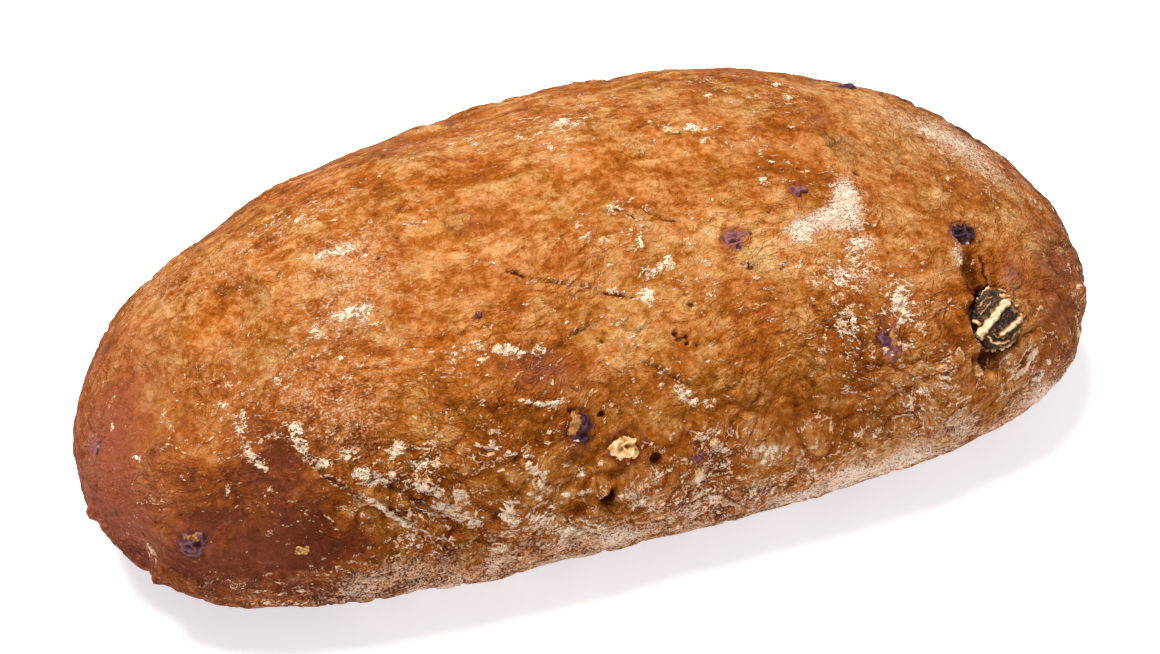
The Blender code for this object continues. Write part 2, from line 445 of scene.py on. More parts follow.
def makeFlourDust():
    # flour in ragged clumps, in flecks along the lips of the dough's folds and in single grains
    results = ["Clumps", "Flecks", "Dust"]
    group, given, result = newGroup("flourDust", ["Flow", "Place"], ["Amount", "Lips", "Line"], results)
    flow, place = given["Flow"], given["Place"]

    def passing(value, name):
        # 0 to 1 where the value passes a mark that falls as the amount grows
        start, slope, soft = flourMarks[name]
        return ranged(value - (start - given["Amount"] * slope), 0.0, soft)

    def chipsIn(stretch, name):
        # a chip in the middle of each cell whose number passes the mark
        cell = newNode(group, "TexVoronoi", {"Vector": stretched(bent, stretch), "Scale": 1.0})
        number = put(group, "SeparateColor", {"Color": Wire(cell.outputs["Color"])}, "Red")
        chosen = passing(number, name)
        reach = Wire(cell.outputs["Distance"]) - number * 0.10
        return chosen, chosen * ranged(reach, 0.16, 0.27, 1.0, 0.0)

    wander = put(group, "TexNoise", {"Vector": place, "Scale": 0.75, "Detail": 2.0}, "Color")
    bent = put(group, "VectorMath", {0: flow, 1: stretched(wander, (4.5, 3.0, 3.0))}, operation="ADD")
    grains = grainOf(place, 2.3, 2.0, 0.7)
    patches = grainOf(stretched(flow, (0.22, 0.36, 0.3)), 1.0, 3.0, 0.6, 0.7)
    flakes = grainOf(stretched(flow, (0.55, 0.85, 0.6)), 1.0, 1.0, 0.6, 0.5)
    gate = grainOf(stretched(flow, (0.17, 0.27, 0.2)), 1.0, 3.0, 0.65, 0.4)
    chosen, small = chipsIn((0.58, 0.98, 0.7), "smallChips")
    _, large = chipsIn((0.30, 0.52, 0.4), "largeChips")
    fleck = largest(largest(given["Lips"] * chosen, small), large) * passing(gate, "flecks")
    fleck = largest(fleck, ranged(swayed(given["Line"], flakes, 1.8), 0.50, 0.62))
    plug(result, {
        "Clumps": passing(patches * 0.30 + flakes * 0.40 + grains * 0.30, "clumps"),
        "Flecks": fleck * ranged(grains, 0.32, 0.44),
        "Dust": passing(grainOf(place, 1.1, 1.0, 0.6), "dust"),
    })
    return group


streakGroup = makeStreaks()
foldGroup = makeFolds()
flourGroup = makeFlourDust()
print("shader groups ready")


# The crust's mesh: the CAD loaf in even small faces, smooth, and closed over all sockets but the walnut's

crustShape = {
    "faceSize": 1.38,         # mm
    "smoothing": 36,          # rounds over the loaf, and lightly in sockets and tears
    "lightSmoothing": 3,
    "socketShare": (0.18, 0.5),   # mm the smoothing would move a point that belongs to a socket
    "closing": 160, "socketWall": 0.95,     # rounds, and mm from the fruit
    "openSockets": ("walnut",),
    "hollow": (0.15, 1.6), "hollowRounds": 30,     # mm below the crust smoothed in so many rounds
    "unevenness": ((17.0, 0.45), (8.0, 0.32)),   # size and height of the hand-shaped dough's lumps, mm
    "folds": (5.6, 1.45, 1.05),    # size across, stretch and height of the drawn folds, mm
    "wrinkles": (3.0, 1.3, 0.48),
    "wrinkleLimits": (0.12, 1.2), "clumps": (0.8, 1.4, 1.3),   # share, unevenness and its size, mm
    "fruitSwell": (0.5, 0.9, 2.2),   # beside the fruit: mm up, mm from it, and size of the unevenness
    "clearance": (1.4, 1.7, 3.0),    # round the walnut: mm down, how wide, and where the swell may begin
    "nutShift": 1.9,          # mm to the photo's right, of the crust close round the walnut
    "baseBand": 4.0,          # mm above the table where the relief fades out
}
spine = {"bend": 16.5, "end": 150.0, "height": 32.0}     # mm: aside at the end, half the length, up

fruitNodes = sorted(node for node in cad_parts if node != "loaf")
fruitReach = 5.0      # mm, as far as the crust takes notice of a piece of fruit


def gapToFruit(points, nodes):
    gap = np.full(len(points), fruitReach)
    for node in nodes:
        low, high = (np.array(corner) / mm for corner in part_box(node))
        tree = treeOf(mergedCopy(node))
        close = np.all((points > low - fruitReach) & (points < high + fruitReach), axis=1)
        for i in np.nonzero(close)[0]:
            gap[i] = min(gap[i], tree.find_nearest(Vector(points[i]))[3])
    return gap


def startCrust():
    obj = newObject("crust", mergedCopy("loaf"))
    remesh = obj.modifiers.new("evenFaces", "REMESH")
    remesh.mode = "VOXEL"
    remesh.voxel_size = crustShape["faceSize"] * mm
    mesh = evaluatedMesh(obj)
    obj.modifiers.clear()
    obj.data = mesh
    points, edges = meshPoints(mesh), meshEdges(mesh)
    even = smoothed(points, edges, crustShape["smoothing"])
    light = smoothed(points, edges, crustShape["lightSmoothing"])
    socket = smoothStep(np.linalg.norm(even - light, axis=1), *crustShape["socketShare"])[:, None]
    for _ in range(3):
        socket = np.maximum(socket, neighbourMean(socket, edges))
    points = even * (1 - socket) + light * socket
    closed = [node for node in fruitNodes if node not in crustShape["openSockets"]]
    inside = (gapToFruit(points, closed) < crustShape["socketWall"])[:, None]
    for _ in range(crustShape["closing"]):
        points = np.where(inside, neighbourMean(points, edges), points)
    points[:, 2] = np.maximum(points[:, 2], 0)
    setPoints(mesh, points)
    return obj


crust = startCrust()
crustTree = treeOf(crust.data)
print("crust mesh:", len(crust.data.vertices), "points")


# Folds, cracks, pores and lips: lines and spots on the crust, as pixels of the photo

# width and depth in mm; lip is a raised edge on the upper side of a line drawn from left to right, and
# shelf lifts that whole side; dark is its painted shade; dark and flour go from 0 to 1, and a steady one
# isn't broken up
creaseKinds = {
    "crack": dict(width=0.30, depth=1.1, lip=0.55, shelf=0.4, dark=0.75, flour=0.28),
    "crease": dict(width=0.36, depth=0.8, lip=0.50, shelf=0.5, dark=0.35, flour=0.38),
    "fold": dict(width=0.30, depth=0.9, lip=0.70, shelf=1.4, dark=0.50, flour=0.48, steady=True),
    "seam": dict(width=0.28, depth=0.7, lip=0.55, shelf=0.9, dark=0.26, flour=0.34, steady=True),
    "under": dict(width=0.36, depth=1.1, lip=0.65, shelf=-1.3, dark=0.5, flour=0.6),
    "groove": dict(width=2.4, depth=0.7, lip=0.0, shelf=0.0, dark=0.2, flour=0.0),
    "trench": dict(width=1.7, depth=2.6, lip=0.0, shelf=0.0, dark=0.12, flour=0.0, steady=True),
    "gash": dict(width=0.5, depth=1.3, lip=0.3, shelf=0.0, dark=0.85, flour=0.0, steady=True),
    "stroke": dict(width=0.5, depth=-0.25, lip=0.0, shelf=0.0, dark=0.0, flour=0.9),
    "ridge": dict(width=2.0, depth=-0.5, lip=0.0, shelf=0.0, dark=0.0, flour=0.1),
    "lip": dict(width=0.55, depth=-0.55, lip=0.0, shelf=0.25, dark=0.0, flour=0.75),
}

crustCreases = {
    "crack": [
        [(633, 131), (646, 126), (656, 127), (661, 131)], [(776, 171), (788, 169), (797, 169), (805, 173)],
        [(763, 175), (769, 177)], [(604, 213), (613, 211), (623, 213), (631, 217), (637, 223)],
        [(638, 211), (644, 212), (652, 215), (661, 219), (671, 223), (680, 224)],
        [(818, 231), (828, 229), (835, 231)], [(453, 228), (461, 228)],
        [(598, 292), (610, 295), (623, 297), (636, 298)], [(738, 263), (747, 268), (755, 271)],
        [(104, 502), (106, 507), (108, 513)], [(741, 262), (748, 266), (754, 270)],
    ],
    "groove": [
        [(759, 154), (770, 147), (782, 145), (795, 147), (807, 147)],
    ],
    "crease": [
        [(822, 148), (832, 146), (841, 142), (855, 138)], [(753, 225), (759, 226)],
        [(470, 261), (476, 264), (483, 264)], [(484, 306), (503, 310), (520, 317)],
        [(524, 322), (525, 333), (530, 343), (549, 352)], [(554, 350), (568, 339), (587, 325), (598, 327)],
        [(399, 215), (415, 211), (422, 205), (426, 201)], [(373, 312), (384, 314)],
        [(477, 229), (488, 228)], [(755, 261), (763, 257)],
        [(577, 317), (593, 317), (608, 322), (617, 324), (631, 332), (644, 329), (650, 322)],
        [(560, 339), (575, 334), (589, 326), (600, 326)], [(570, 387), (583, 393)],
        [(751, 294), (766, 292), (780, 294)], [(759, 303), (770, 301), (780, 303)],
        [(370, 479), (391, 485), (412, 498), (433, 506), (454, 515), (477, 525)],
        [(285, 360), (292, 352), (300, 350)], [(620, 511), (635, 507), (650, 505)],
        [(560, 535), (590, 527), (620, 519), (655, 513)], [(842, 262), (850, 268), (856, 276)],
    ],
    "seam": [
        [(602, 215), (612, 211), (625, 208), (642, 210), (652, 213)],
        [(528, 278), (538, 281), (549, 283), (568, 285), (583, 287), (598, 292)],
        [(638, 361), (650, 363), (663, 370), (675, 378), (684, 383), (694, 383)],
    ],
    "gash": [
        [(504, 270), (511, 273), (518, 275), (527, 278)],
        [(977, 252), (982, 262), (984, 274), (983, 286), (980, 297)], [(966, 280), (967, 289), (972, 298)],
    ],
    "ridge": [
        [(694, 355), (698, 374), (709, 385), (723, 399), (728, 408)],
    ],
    "fold": [
        [(288, 429), (300, 448), (311, 461), (324, 475), (342, 486), (357, 496), (370, 507)],
        [(370, 494), (391, 508), (412, 523), (439, 536), (458, 544), (471, 550)],
        [(505, 555), (517, 544), (538, 540), (570, 536)],
    ],
    "under": [
        [(244, 438), (250, 455), (263, 467), (271, 473)],
    ],
    "trench": [
        [(969, 252), (972, 266), (974, 282), (975, 298)],
        [(970, 352), (978, 361), (990, 366), (1003, 366), (1013, 360)],
    ],
    "stroke": [
        [(1016, 376), (1026, 362), (1036, 348)], [(1034, 378), (1044, 366), (1052, 352)],
        [(893, 320), (896, 308), (902, 296)],
    ],
    "lip": [      # thin raised edges of torn skin, paler than the crust
        [(515, 397), (530, 403), (549, 404), (564, 401), (576, 397)],
        [(467, 440), (479, 445), (496, 449), (517, 454), (538, 458)],
        [(517, 487), (534, 494), (551, 504), (564, 510)],
        [(551, 490), (572, 492), (589, 489), (599, 485), (614, 489)], [(692, 281), (702, 276), (713, 278)],
        [(707, 294), (711, 298), (719, 300)], [(348, 264), (357, 258), (371, 256)],
        [(765, 163), (778, 165), (791, 164)], [(757, 184), (767, 179)],
        [(642, 223), (640, 244), (644, 251)], [(345, 486), (370, 500), (395, 517), (425, 530), (455, 540)],
        [(653, 474), (664, 471), (674, 467)], [(694, 437), (704, 436), (714, 438)],
    ],
}

# holes where bubbles burst: pixel, radius and depth in mm
crustPits = [
    ((607, 495), 2.3, 2.4), ((974, 357), 2.1, 2.4), ((782, 269), 0.7, 0.8), ((791, 274), 0.5, 0.7),
    ((656, 459), 1.9, 2.4), ((577, 506), 2.2, 1.4), ((613, 475), 2.2, 0.8), ((612, 476), 0.5, 0.7),
    ((601, 414), 1.0, 0.9), ((691, 305), 0.9, 1.1), ((378, 258), 0.9, 0.9), ((675, 334), 0.9, 1.4),
    ((679, 339), 1.0, 1.4), ((686, 337), 0.8, 1.3), ((687, 343), 0.8, 1.3), ((697, 345), 0.7, 1.0),
    ((692, 349), 0.4, 0.6), ((602, 341), 0.8, 0.8), ((457, 228), 1.1, 0.9), ((350, 333), 0.8, 0.6),
    ((369, 333), 0.7, 0.5), ((384, 329), 0.8, 0.6), ((397, 237), 0.9, 0.7), ((769, 212), 0.9, 0.7),
    ((857, 173), 1.2, 0.9), ((570, 411), 1.2, 0.7), ((738, 249), 0.8, 1.0), ((751, 234), 0.7, 1.0),
    ((613, 489), 1.6, 0.6), ((449, 239), 0.5, 0.7), ((471, 226), 0.6, 0.7), ((483, 229), 0.6, 0.7),
]

# where the outline stands out in a small tag of dough or falls back: pixel, radius and height in mm
crustTags = [
    ((97, 511), 2.4, 2.8), ((160, 575), 2.6, 3.4), ((1079, 290), 2.4, 2.6), ((591, 91), 2.4, 0.9),
    ((132, 550), 11.0, -4.2), ((1068, 262), 12.0, -2.4), ((1080, 318), 7.0, -1.0),
]

# raised clumps where flour caught: pixel, radii in pixels, turn in degrees and thickness in mm
flourLumps = [
    (297, 436, 6, 13, -14, 0.6), (304, 451, 4, 8, 0, 0.4), (322, 465, 9, 6, 20, 0.5),
    (345, 454, 9, 6, 10, 0.5), (363, 476, 11, 7, 20, 0.7), (379, 478, 9, 5, 10, 0.5),
    (391, 474, 7, 5, 0, 0.4), (399, 446, 5, 6, 0, 0.4), (393, 455, 4, 6, 20, 0.4), (427, 464, 7, 3, 0, 0.4),
    (421, 483, 9, 3, 10, 0.4), (436, 487, 9, 3, 10, 0.4), (443, 505, 9, 4, 15, 0.5),
    (460, 495, 7, 5, 30, 0.4), (472, 519, 7, 5, 20, 0.5), (457, 514, 6, 4, 20, 0.4),
    (509, 508, 5, 10, -10, 0.5), (498, 546, 8, 5, 0, 0.25), (252, 457, 6, 4, 40, 0.5),
    (262, 465, 5, 4, 40, 0.4), (247, 446, 3, 5, 0, 0.3), (223, 405, 4, 5, 0, 0.3),
    (244, 416, 3, 6, 20, 0.4), (229, 490, 4, 7, 15, 0.4), (268, 487, 5, 4, 0, 0.3),
    (302, 470, 3, 6, 0, 0.3), (305, 508, 5, 4, 0, 0.3), (250, 505, 3, 3, 0, 0.3), (281, 497, 3, 3, 0, 0.3),
    (350, 509, 8, 5, 20, 0.3), (345, 249, 15, 6, -25, 0.3), (322, 257, 9, 4, -25, 0.3),
    (350, 314, 15, 4, -8, 0.5), (365, 309, 8, 4, -10, 0.4), (316, 333, 5, 6, 10, 0.4),
    (341, 359, 5, 4, 0, 0.4), (362, 365, 6, 4, 0, 0.3), (346, 380, 4, 5, 0, 0.3), (278, 380, 4, 8, 0, 0.4),
    (204, 369, 3, 4, 0, 0.3), (184, 376, 3, 3, 0, 0.2), (175, 390, 2, 5, 0, 0.3), (176, 402, 2, 4, 0, 0.3),
    (164, 415, 3, 8, 0, 0.4), (200, 419, 4, 3, -20, 0.3), (138, 457, 5, 4, 20, 0.3),
    (142, 460, 4, 5, 40, 0.3), (243, 290, 4, 6, 0, 0.3), (271, 273, 5, 3, -20, 0.2),
    (340, 402, 4, 4, 0, 0.3), (357, 424, 4, 4, 0, 0.3), (493, 264, 7, 3, 0, 0.3), (503, 349, 9, 5, 0, 0.4),
    (480, 349, 5, 4, 0, 0.3), (518, 354, 6, 3, 0, 0.3), (539, 350, 6, 4, 0, 0.3), (482, 360, 4, 4, 0, 0.3),
    (537, 473, 6, 5, 0, 0.5), (541, 483, 7, 4, 10, 0.4), (528, 464, 4, 4, 0, 0.4), (499, 470, 6, 2, 5, 0.3),
    (581, 471, 4, 7, 0, 0.4), (507, 510, 6, 8, -10, 0.25), (516, 499, 4, 5, 0, 0.25),
    (543, 515, 18, 3, 4, 0.25), (627, 492, 8, 5, 0, 0.28), (641, 499, 9, 6, 10, 0.28),
    (656, 504, 9, 5, 0, 0.25), (566, 527, 14, 4, -4, 0.25), (593, 526, 8, 6, 0, 0.25),
    (663, 386, 4, 3, 20, 0.3), (682, 393, 8, 5, 30, 0.4), (692, 400, 6, 4, 20, 0.4),
    (707, 403, 7, 4, 20, 0.4), (636, 403, 4, 5, 0, 0.3), (671, 418, 5, 2, 0, 0.3), (714, 443, 4, 4, 0, 0.5),
    (722, 449, 5, 4, 0, 0.4), (699, 471, 4, 6, 0, 0.4), (724, 463, 3, 3, 0, 0.4), (747, 431, 5, 2, 0, 0.3),
    (768, 447, 9, 5, 10, 0.4), (613, 210, 6, 3, 0, 0.4), (579, 226, 4, 4, 0, 0.3), (585, 239, 4, 4, 0, 0.3),
    (692, 220, 4, 3, 0, 0.3), (708, 222, 4, 3, 0, 0.3), (692, 240, 9, 2, 5, 0.3), (648, 273, 7, 6, 0, 0.5),
    (669, 260, 6, 5, 0, 0.4), (661, 269, 4, 4, 0, 0.3), (646, 293, 8, 5, -10, 0.5),
    (650, 302, 7, 5, -20, 0.4), (617, 293, 9, 2, 5, 0.4), (705, 262, 8, 3, 0, 0.3),
    (682, 290, 4, 3, 0, 0.3), (693, 306, 2, 3, 0, 0.4), (758, 279, 6, 4, 0, 0.3), (623, 320, 6, 3, 20, 0.3),
    (630, 339, 7, 2, -40, 0.3), (581, 288, 8, 2, 10, 0.3), (799, 232, 13, 10, -10, 0.36),
    (817, 219, 11, 6, -25, 0.34), (838, 216, 13, 8, 0, 0.3), (849, 197, 9, 12, 10, 0.34),
    (860, 226, 6, 7, 0, 0.28), (806, 243, 8, 4, 0, 0.36), (858, 243, 11, 5, 0, 0.28),
    (954, 250, 4, 6, 0, 0.35), (958, 263, 4, 7, 0, 0.35), (852, 262, 5, 3, 20, 0.4),
    (897, 303, 4, 10, 5, 0.4), (903, 312, 3, 8, 0, 0.3), (942, 137, 9, 4, 25, 0.2),
    (958, 144, 8, 4, 30, 0.2), (925, 133, 8, 3, 25, 0.2), (560, 124, 9, 4, -15, 0.3),
    (549, 148, 5, 4, 0, 0.3), (690, 129, 7, 4, 0, 0.4), (690, 84, 5, 4, 0, 0.3), (707, 82, 8, 3, 0, 0.3),
    (727, 90, 3, 4, 0, 0.3), (707, 95, 9, 3, 5, 0.3), (674, 103, 8, 2, -8, 0.3), (733, 103, 6, 2, 0, 0.3),
    (777, 86, 6, 3, 0, 0.3), (787, 98, 5, 3, 10, 0.25), (793, 128, 9, 4, 0, 0.35), (580, 98, 4, 3, 0, 0.3),
    (582, 107, 6, 3, 0, 0.3), (613, 100, 5, 3, 0, 0.3), (668, 130, 5, 5, 0, 0.4), (653, 142, 4, 3, 0, 0.35),
    (703, 143, 4, 4, 0, 0.35), (673, 148, 5, 2, 0, 0.3), (518, 139, 4, 3, 0, 0.3), (470, 140, 4, 3, 0, 0.3),
    (478, 145, 10, 2, -5, 0.3), (452, 148, 4, 3, 0, 0.3), (593, 140, 7, 2, 0, 0.3),
    (578, 126, 7, 2, 0, 0.3), (240, 430, 4, 4, 0, 0.3), (268, 470, 3, 3, 0, 0.3), (221, 458, 3, 5, 10, 0.3),
    (560, 290, 6, 2, 5, 0.3), (812, 300, 7, 2, 5, 0.3),
]


# The crust's colour fields. Spots are broad patches: pixel x, y, radius x, y, turn in degrees and amount.
# Bands are heights in mm above the table, and noise is its size in mm, its amount and its shift.

crustTone = {
    "base": 0.24, "side": 0.34, "top": 0.54,      # how golden, from mahogany 0 to pale gold 1
    "bands": (0, 24, 62),
    "averted": 0.12, "ends": (70, 145),           # darker at the ends that the photo doesn't show, mm along
    "edges": (0.11, 0.45, 0.5),                   # and painted shade to the outline: from this cosine, over this span
    "fruit": (0.16, 1.4),                         # and beside the fruit: how much, and mm from it
    "noise": [(22, 0.10, (1, 7, 3))],
    "spots": [
        # most tone spots are the crust's own bake; the dark ones in the trough near (545, 372) and in the
        # groove at (972, 276) are painted shade
        (480, 250, 75, 32, -15, 0.07), (560, 200, 90, 25, -10, 0.1), (700, 230, 110, 30, -5, 0.13),
        (972, 276, 7, 24, -6, -0.4), (640, 330, 60, 25, 0, 0.1), (780, 255, 60, 30, 0, 0.18),
        (213, 457, 18, 14, 0, 0.24), (250, 330, 60, 30, -35, 0.06), (149, 298, 30, 30, -40, 0.06),
        (430, 320, 60, 40, 0, 0.06), (900, 220, 60, 40, 0, 0.06), (780, 370, 60, 50, 0, -0.14),
        (490, 415, 80, 40, 10, -0.1), (620, 400, 70, 40, 0, -0.05), (540, 365, 42, 12, 5, -0.24),
        (330, 350, 60, 30, -20, -0.02), (850, 150, 60, 24, 15, 0.1), (345, 290, 30, 26, 0, 0.06),
        (780, 312, 44, 20, 0, -0.1), (688, 480, 30, 30, 0, -0.08), (541, 345, 30, 26, 0, -0.06),
        (688, 166, 22, 14, 0, 0.1), (884, 455, 50, 14, -20, 0.32), (370, 588, 80, 12, -6, -0.16),
        (545, 372, 44, 14, 5, -0.06), (628, 362, 34, 16, 0, 0.1), (720, 298, 60, 14, 0, -0.08),
        (270, 234, 40, 14, -30, -0.08), (935, 400, 90, 34, -25, 0.07), (1030, 240, 26, 46, -15, 0.09),
        (465, 260, 44, 22, 0, 0.14), (640, 138, 80, 16, -5, 0.1), (884, 165, 36, 30, 20, 0.08),
        (933, 262, 20, 40, 0, 0.16), (600, 145, 130, 26, -8, 0.05), (200, 330, 60, 60, -20, 0.06),
        (850, 445, 60, 24, -20, 0.05), (590, 366, 24, 20, 0, 0.08), (262, 345, 36, 26, -20, -0.12),
        (565, 435, 44, 18, 0, -0.09), (650, 430, 90, 34, 0, -0.03), (830, 380, 60, 50, -10, -0.03),
        (385, 475, 80, 44, 25, -0.15), (450, 542, 80, 26, -10, -0.05), (250, 545, 80, 40, 0, -0.06),
        (443, 150, 40, 22, -10, 0.06), (250, 535, 85, 50, 0, -0.34), (470, 145, 40, 14, -16, 0.08),
        (510, 110, 40, 12, -14, 0.1), (884, 108, 30, 10, 20, 0.1), (982, 150, 30, 10, 35, 0.08),
        (190, 570, 80, 26, 5, -0.16), (110, 500, 40, 80, 0, -0.06), (480, 450, 60, 40, 0, -0.15),
        (268, 456, 46, 30, 0, -0.24), (235, 478, 46, 22, 0, -0.16), (370, 460, 60, 34, 20, -0.05),
        (296, 364, 26, 20, 0, -0.06), (690, 160, 70, 22, 0, 0.06), (640, 100, 60, 10, -4, 0.1),
        (835, 100, 30, 10, 12, 0.02), (786, 200, 24, 18, 0, 0.08), (737, 346, 26, 24, 0, 0.05),
        (420, 412, 34, 22, 0, 0.07), (688, 432, 24, 20, 0, 0.05), (296, 331, 26, 16, 0, 0.08),
        (443, 298, 22, 16, 0, -0.06), (786, 262, 30, 16, 0, -0.05), (400, 562, 60, 12, -6, 0.06),
        (394, 298, 24, 20, 0, 0.04), (933, 133, 30, 14, 28, 0.08), (1031, 397, 20, 16, -30, 0.16),
        (440, 205, 40, 24, -20, 0.06), (370, 593, 50, 9, -4, -0.22), (405, 462, 50, 22, 10, -0.14),
        (541, 412, 26, 30, 0, -0.16), (868, 345, 44, 44, 0, -0.16), (285, 445, 30, 26, 0, -0.16),
        (960, 320, 20, 40, 0, -0.08), (560, 215, 60, 22, 0, -0.1), (860, 105, 60, 16, 22, 0.2),
        (345, 265, 30, 50, 0, 0.1), (541, 100, 40, 14, 0, 0.12), (590, 480, 60, 30, 0, -0.05),
        (850, 350, 14, 50, -10, -0.12), (600, 120, 100, 14, -8, -0.08), (680, 175, 60, 14, 0, -0.1),
        (770, 168, 34, 12, 0, -0.08), (320, 540, 50, 40, 0, -0.2),
    ],
}
crustRed = {
    "averted": 0.45, "ends": (90, 145),           # at the ends that the photo doesn't show, mm along
    "fruit": (0.35, 0.3, 0.9),                    # beside the fruit: how much, mm from it and mm wide
    "noise": [(16, 0.15, (9, 2, 2))],
    "spots": [
        (1066, 258, 20, 46, -14, 0.4), (100, 470, 45, 110, 10, 0.9), (150, 380, 40, 60, 20, 0.24),
        (240, 425, 60, 44, 0, 0.22), (155, 500, 46, 90, 10, 0.22), (240, 555, 120, 46, 0, 0.5),
        (125, 530, 50, 70, 0, 0.5), (260, 480, 60, 40, 0, 0.3), (900, 300, 70, 110, 0, 0.1),
        (1060, 300, 40, 90, -20, 0.45), (330, 340, 70, 30, -20, 0.25), (545, 370, 46, 20, 8, 0.5),
        (1010, 275, 10, 16, 0, 0.6), (850, 500, 90, 22, -20, 0.2), (818, 119, 9, 6, 0, 0.6),
        (1043, 265, 8, 8, 0, 0.4),
    ],
}
crustFlour = {
    "all": 0.165, "low": 0.49, "middle": 0.44,    # in general, at the table and above that band
    "bands": (20, 36, 58),
    "bareEnd": (-142, -62), "bareness": 0.75,     # mm along: hardly any band at this end
    "crests": 0.12, "lumps": 1.8, "most": 0.80,   # more on the folds' crests and for each mm of a clump
    "noise": [(11, 0.20, (4, 4, 8)), (34, 0.14, (2, 8, 1))],
    "spots": [
        (300, 225, 60, 14, -30, 0.16), (250, 240, 60, 12, -32, 0.16), (345, 249, 38, 14, -25, 0.3),
        (345, 320, 34, 16, -10, 0.32), (330, 350, 120, 90, -20, 0.08), (225, 425, 60, 50, 0, 0.05),
        (805, 231, 26, 15, -10, 0.4), (843, 204, 22, 28, 8, 0.34), (855, 248, 26, 14, -10, 0.36),
        (847, 275, 28, 16, -10, 0.42), (847, 322, 14, 18, 0, 0.24), (856, 362, 12, 18, 0, 0.2),
        (920, 350, 40, 55, -20, 0.14), (900, 303, 9, 22, 0, 0.38), (290, 470, 36, 26, 0, -0.2),
        (400, 470, 80, 40, 25, 0.14), (250, 430, 26, 28, -20, 0.2), (940, 145, 50, 20, 35, 0.34),
        (1000, 190, 22, 14, 45, 0.26), (975, 165, 35, 12, 38, 0.24), (1040, 375, 45, 22, -40, 0.12),
        (560, 130, 50, 22, -8, 0.24), (760, 100, 80, 14, 5, 0.16), (690, 128, 12, 8, 0, 0.2),
        (440, 470, 90, 60, 20, 0.02), (690, 450, 80, 40, -10, 0.08), (620, 508, 70, 16, -12, 0.06),
        (890, 310, 60, 50, 0, 0.05), (690, 395, 40, 20, 30, 0.14), (660, 278, 46, 22, -20, 0.26),
        (500, 352, 46, 12, 0, 0.28), (490, 430, 80, 40, 0, 0.12), (700, 365, 70, 40, 10, 0.12),
        (790, 330, 80, 60, 0, 0.06), (600, 235, 26, 14, 0, 0.14), (640, 212, 40, 8, 5, 0.12),
        (600, 432, 60, 34, 0, 0.07), (710, 420, 50, 34, 0, 0.09), (830, 380, 60, 50, -10, 0.08),
        (700, 190, 90, 26, 0, -0.12), (480, 210, 60, 22, 0, -0.1), (770, 390, 60, 40, 0, -0.18),
        (170, 340, 40, 40, -40, -0.1), (640, 340, 50, 16, 0, -0.1), (430, 395, 50, 25, 0, -0.06),
        (100, 500, 30, 90, 0, -0.16), (240, 545, 70, 34, 0, -0.2), (640, 230, 26, 20, 0, 0.1),
        (900, 310, 70, 80, -20, 0.16), (380, 170, 90, 16, -25, 0.18), (360, 480, 90, 40, 25, 0.08),
        (1050, 260, 20, 50, -20, 0.1), (940, 400, 80, 30, -25, 0.05), (370, 592, 60, 9, -4, -0.14),
    ],
}
crustPowder = {
    "low": 0.50, "middle": 0.28, "high": 0.0,     # a thin pale film of flour near the table
    "bands": (22, 30, 40),
    "patchy": (9, 1.2, (6, 4, 8)),                # as noise, but a share of the band
    "spots": [
        (965, 148, 40, 15, 33, 0.75), (1005, 185, 26, 10, 45, 0.36), (800, 232, 17, 12, -10, 1.1),
        (819, 219, 14, 8, -15, 0.9), (844, 192, 13, 17, 0, 1.1), (847, 212, 19, 12, 0, 1.0),
        (842, 226, 22, 7, 0, 0.9), (864, 243, 16, 8, -8, 0.9), (1035, 245, 22, 45, -20, 0.14),
        (900, 405, 50, 22, -20, -0.08), (370, 591, 70, 10, -5, -0.1), (150, 545, 40, 26, 0, 0.1),
        (492, 564, 30, 8, -6, 0.22), (790, 498, 40, 9, -15, 0.25), (165, 288, 34, 24, -40, 0.14),
        (103, 480, 22, 90, 5, 0.1), (365, 280, 44, 34, 0, 0.24), (345, 430, 50, 50, 0, 0.18),
        (925, 442, 80, 12, -28, 0.34), (956, 256, 6, 11, 0, 0.8), (320, 330, 90, 110, -20, 0.2),
        (865, 280, 22, 14, 0, 0.35), (296, 397, 30, 24, 0, 0.2), (372, 412, 46, 36, 0, 0.12),
        (365, 245, 70, 26, -15, 0.16), (860, 472, 60, 16, -22, 0.3), (640, 526, 50, 12, -10, 0.3),
        (1031, 397, 22, 12, -40, 0.4), (430, 150, 40, 14, -22, 0.1), (150, 300, 40, 50, 30, 0.18),
        (320, 175, 80, 22, -28, 0.14), (640, 100, 80, 14, -4, 0.1), (500, 130, 70, 16, -12, 0.1),
        (690, 105, 80, 14, 0, 0.1), (900, 303, 10, 24, 6, 0.5), (905, 122, 46, 14, 25, 0.5),
        (485, 200, 26, 8, -10, 0.25), (92, 430, 12, 70, 5, 0.12), (1045, 375, 40, 16, -40, 0.05),
        (820, 450, 150, 30, -18, -0.22), (640, 500, 60, 20, -12, -0.2), (345, 249, 24, 8, -25, 0.2),
        (560, 128, 30, 9, -8, 0.25), (400, 575, 60, 12, -6, 0.35), (300, 225, 60, 10, -30, 0.15),
    ],
}
crustFolds = {
    "low": 0.95, "middle": 0.72, "top": 0.32,     # how deep the folds are, by height
    "bands": (20, 50, 76),
    "noise": [(14, 0.5, (8, 1, 1))],
    "spots": [
        (250, 540, 80, 40, 0, -0.55), (110, 480, 30, 90, 0, -0.35), (185, 440, 55, 50, 0, -0.4),
        (560, 210, 80, 24, -10, -0.15), (920, 350, 60, 50, -20, 0.25), (400, 480, 90, 40, 25, 0.25),
        (790, 360, 60, 40, 0, 0.15), (330, 260, 90, 24, -30, 0.2), (960, 150, 50, 20, 30, -0.25),
        (600, 500, 80, 30, -10, 0.15),
    ],
}

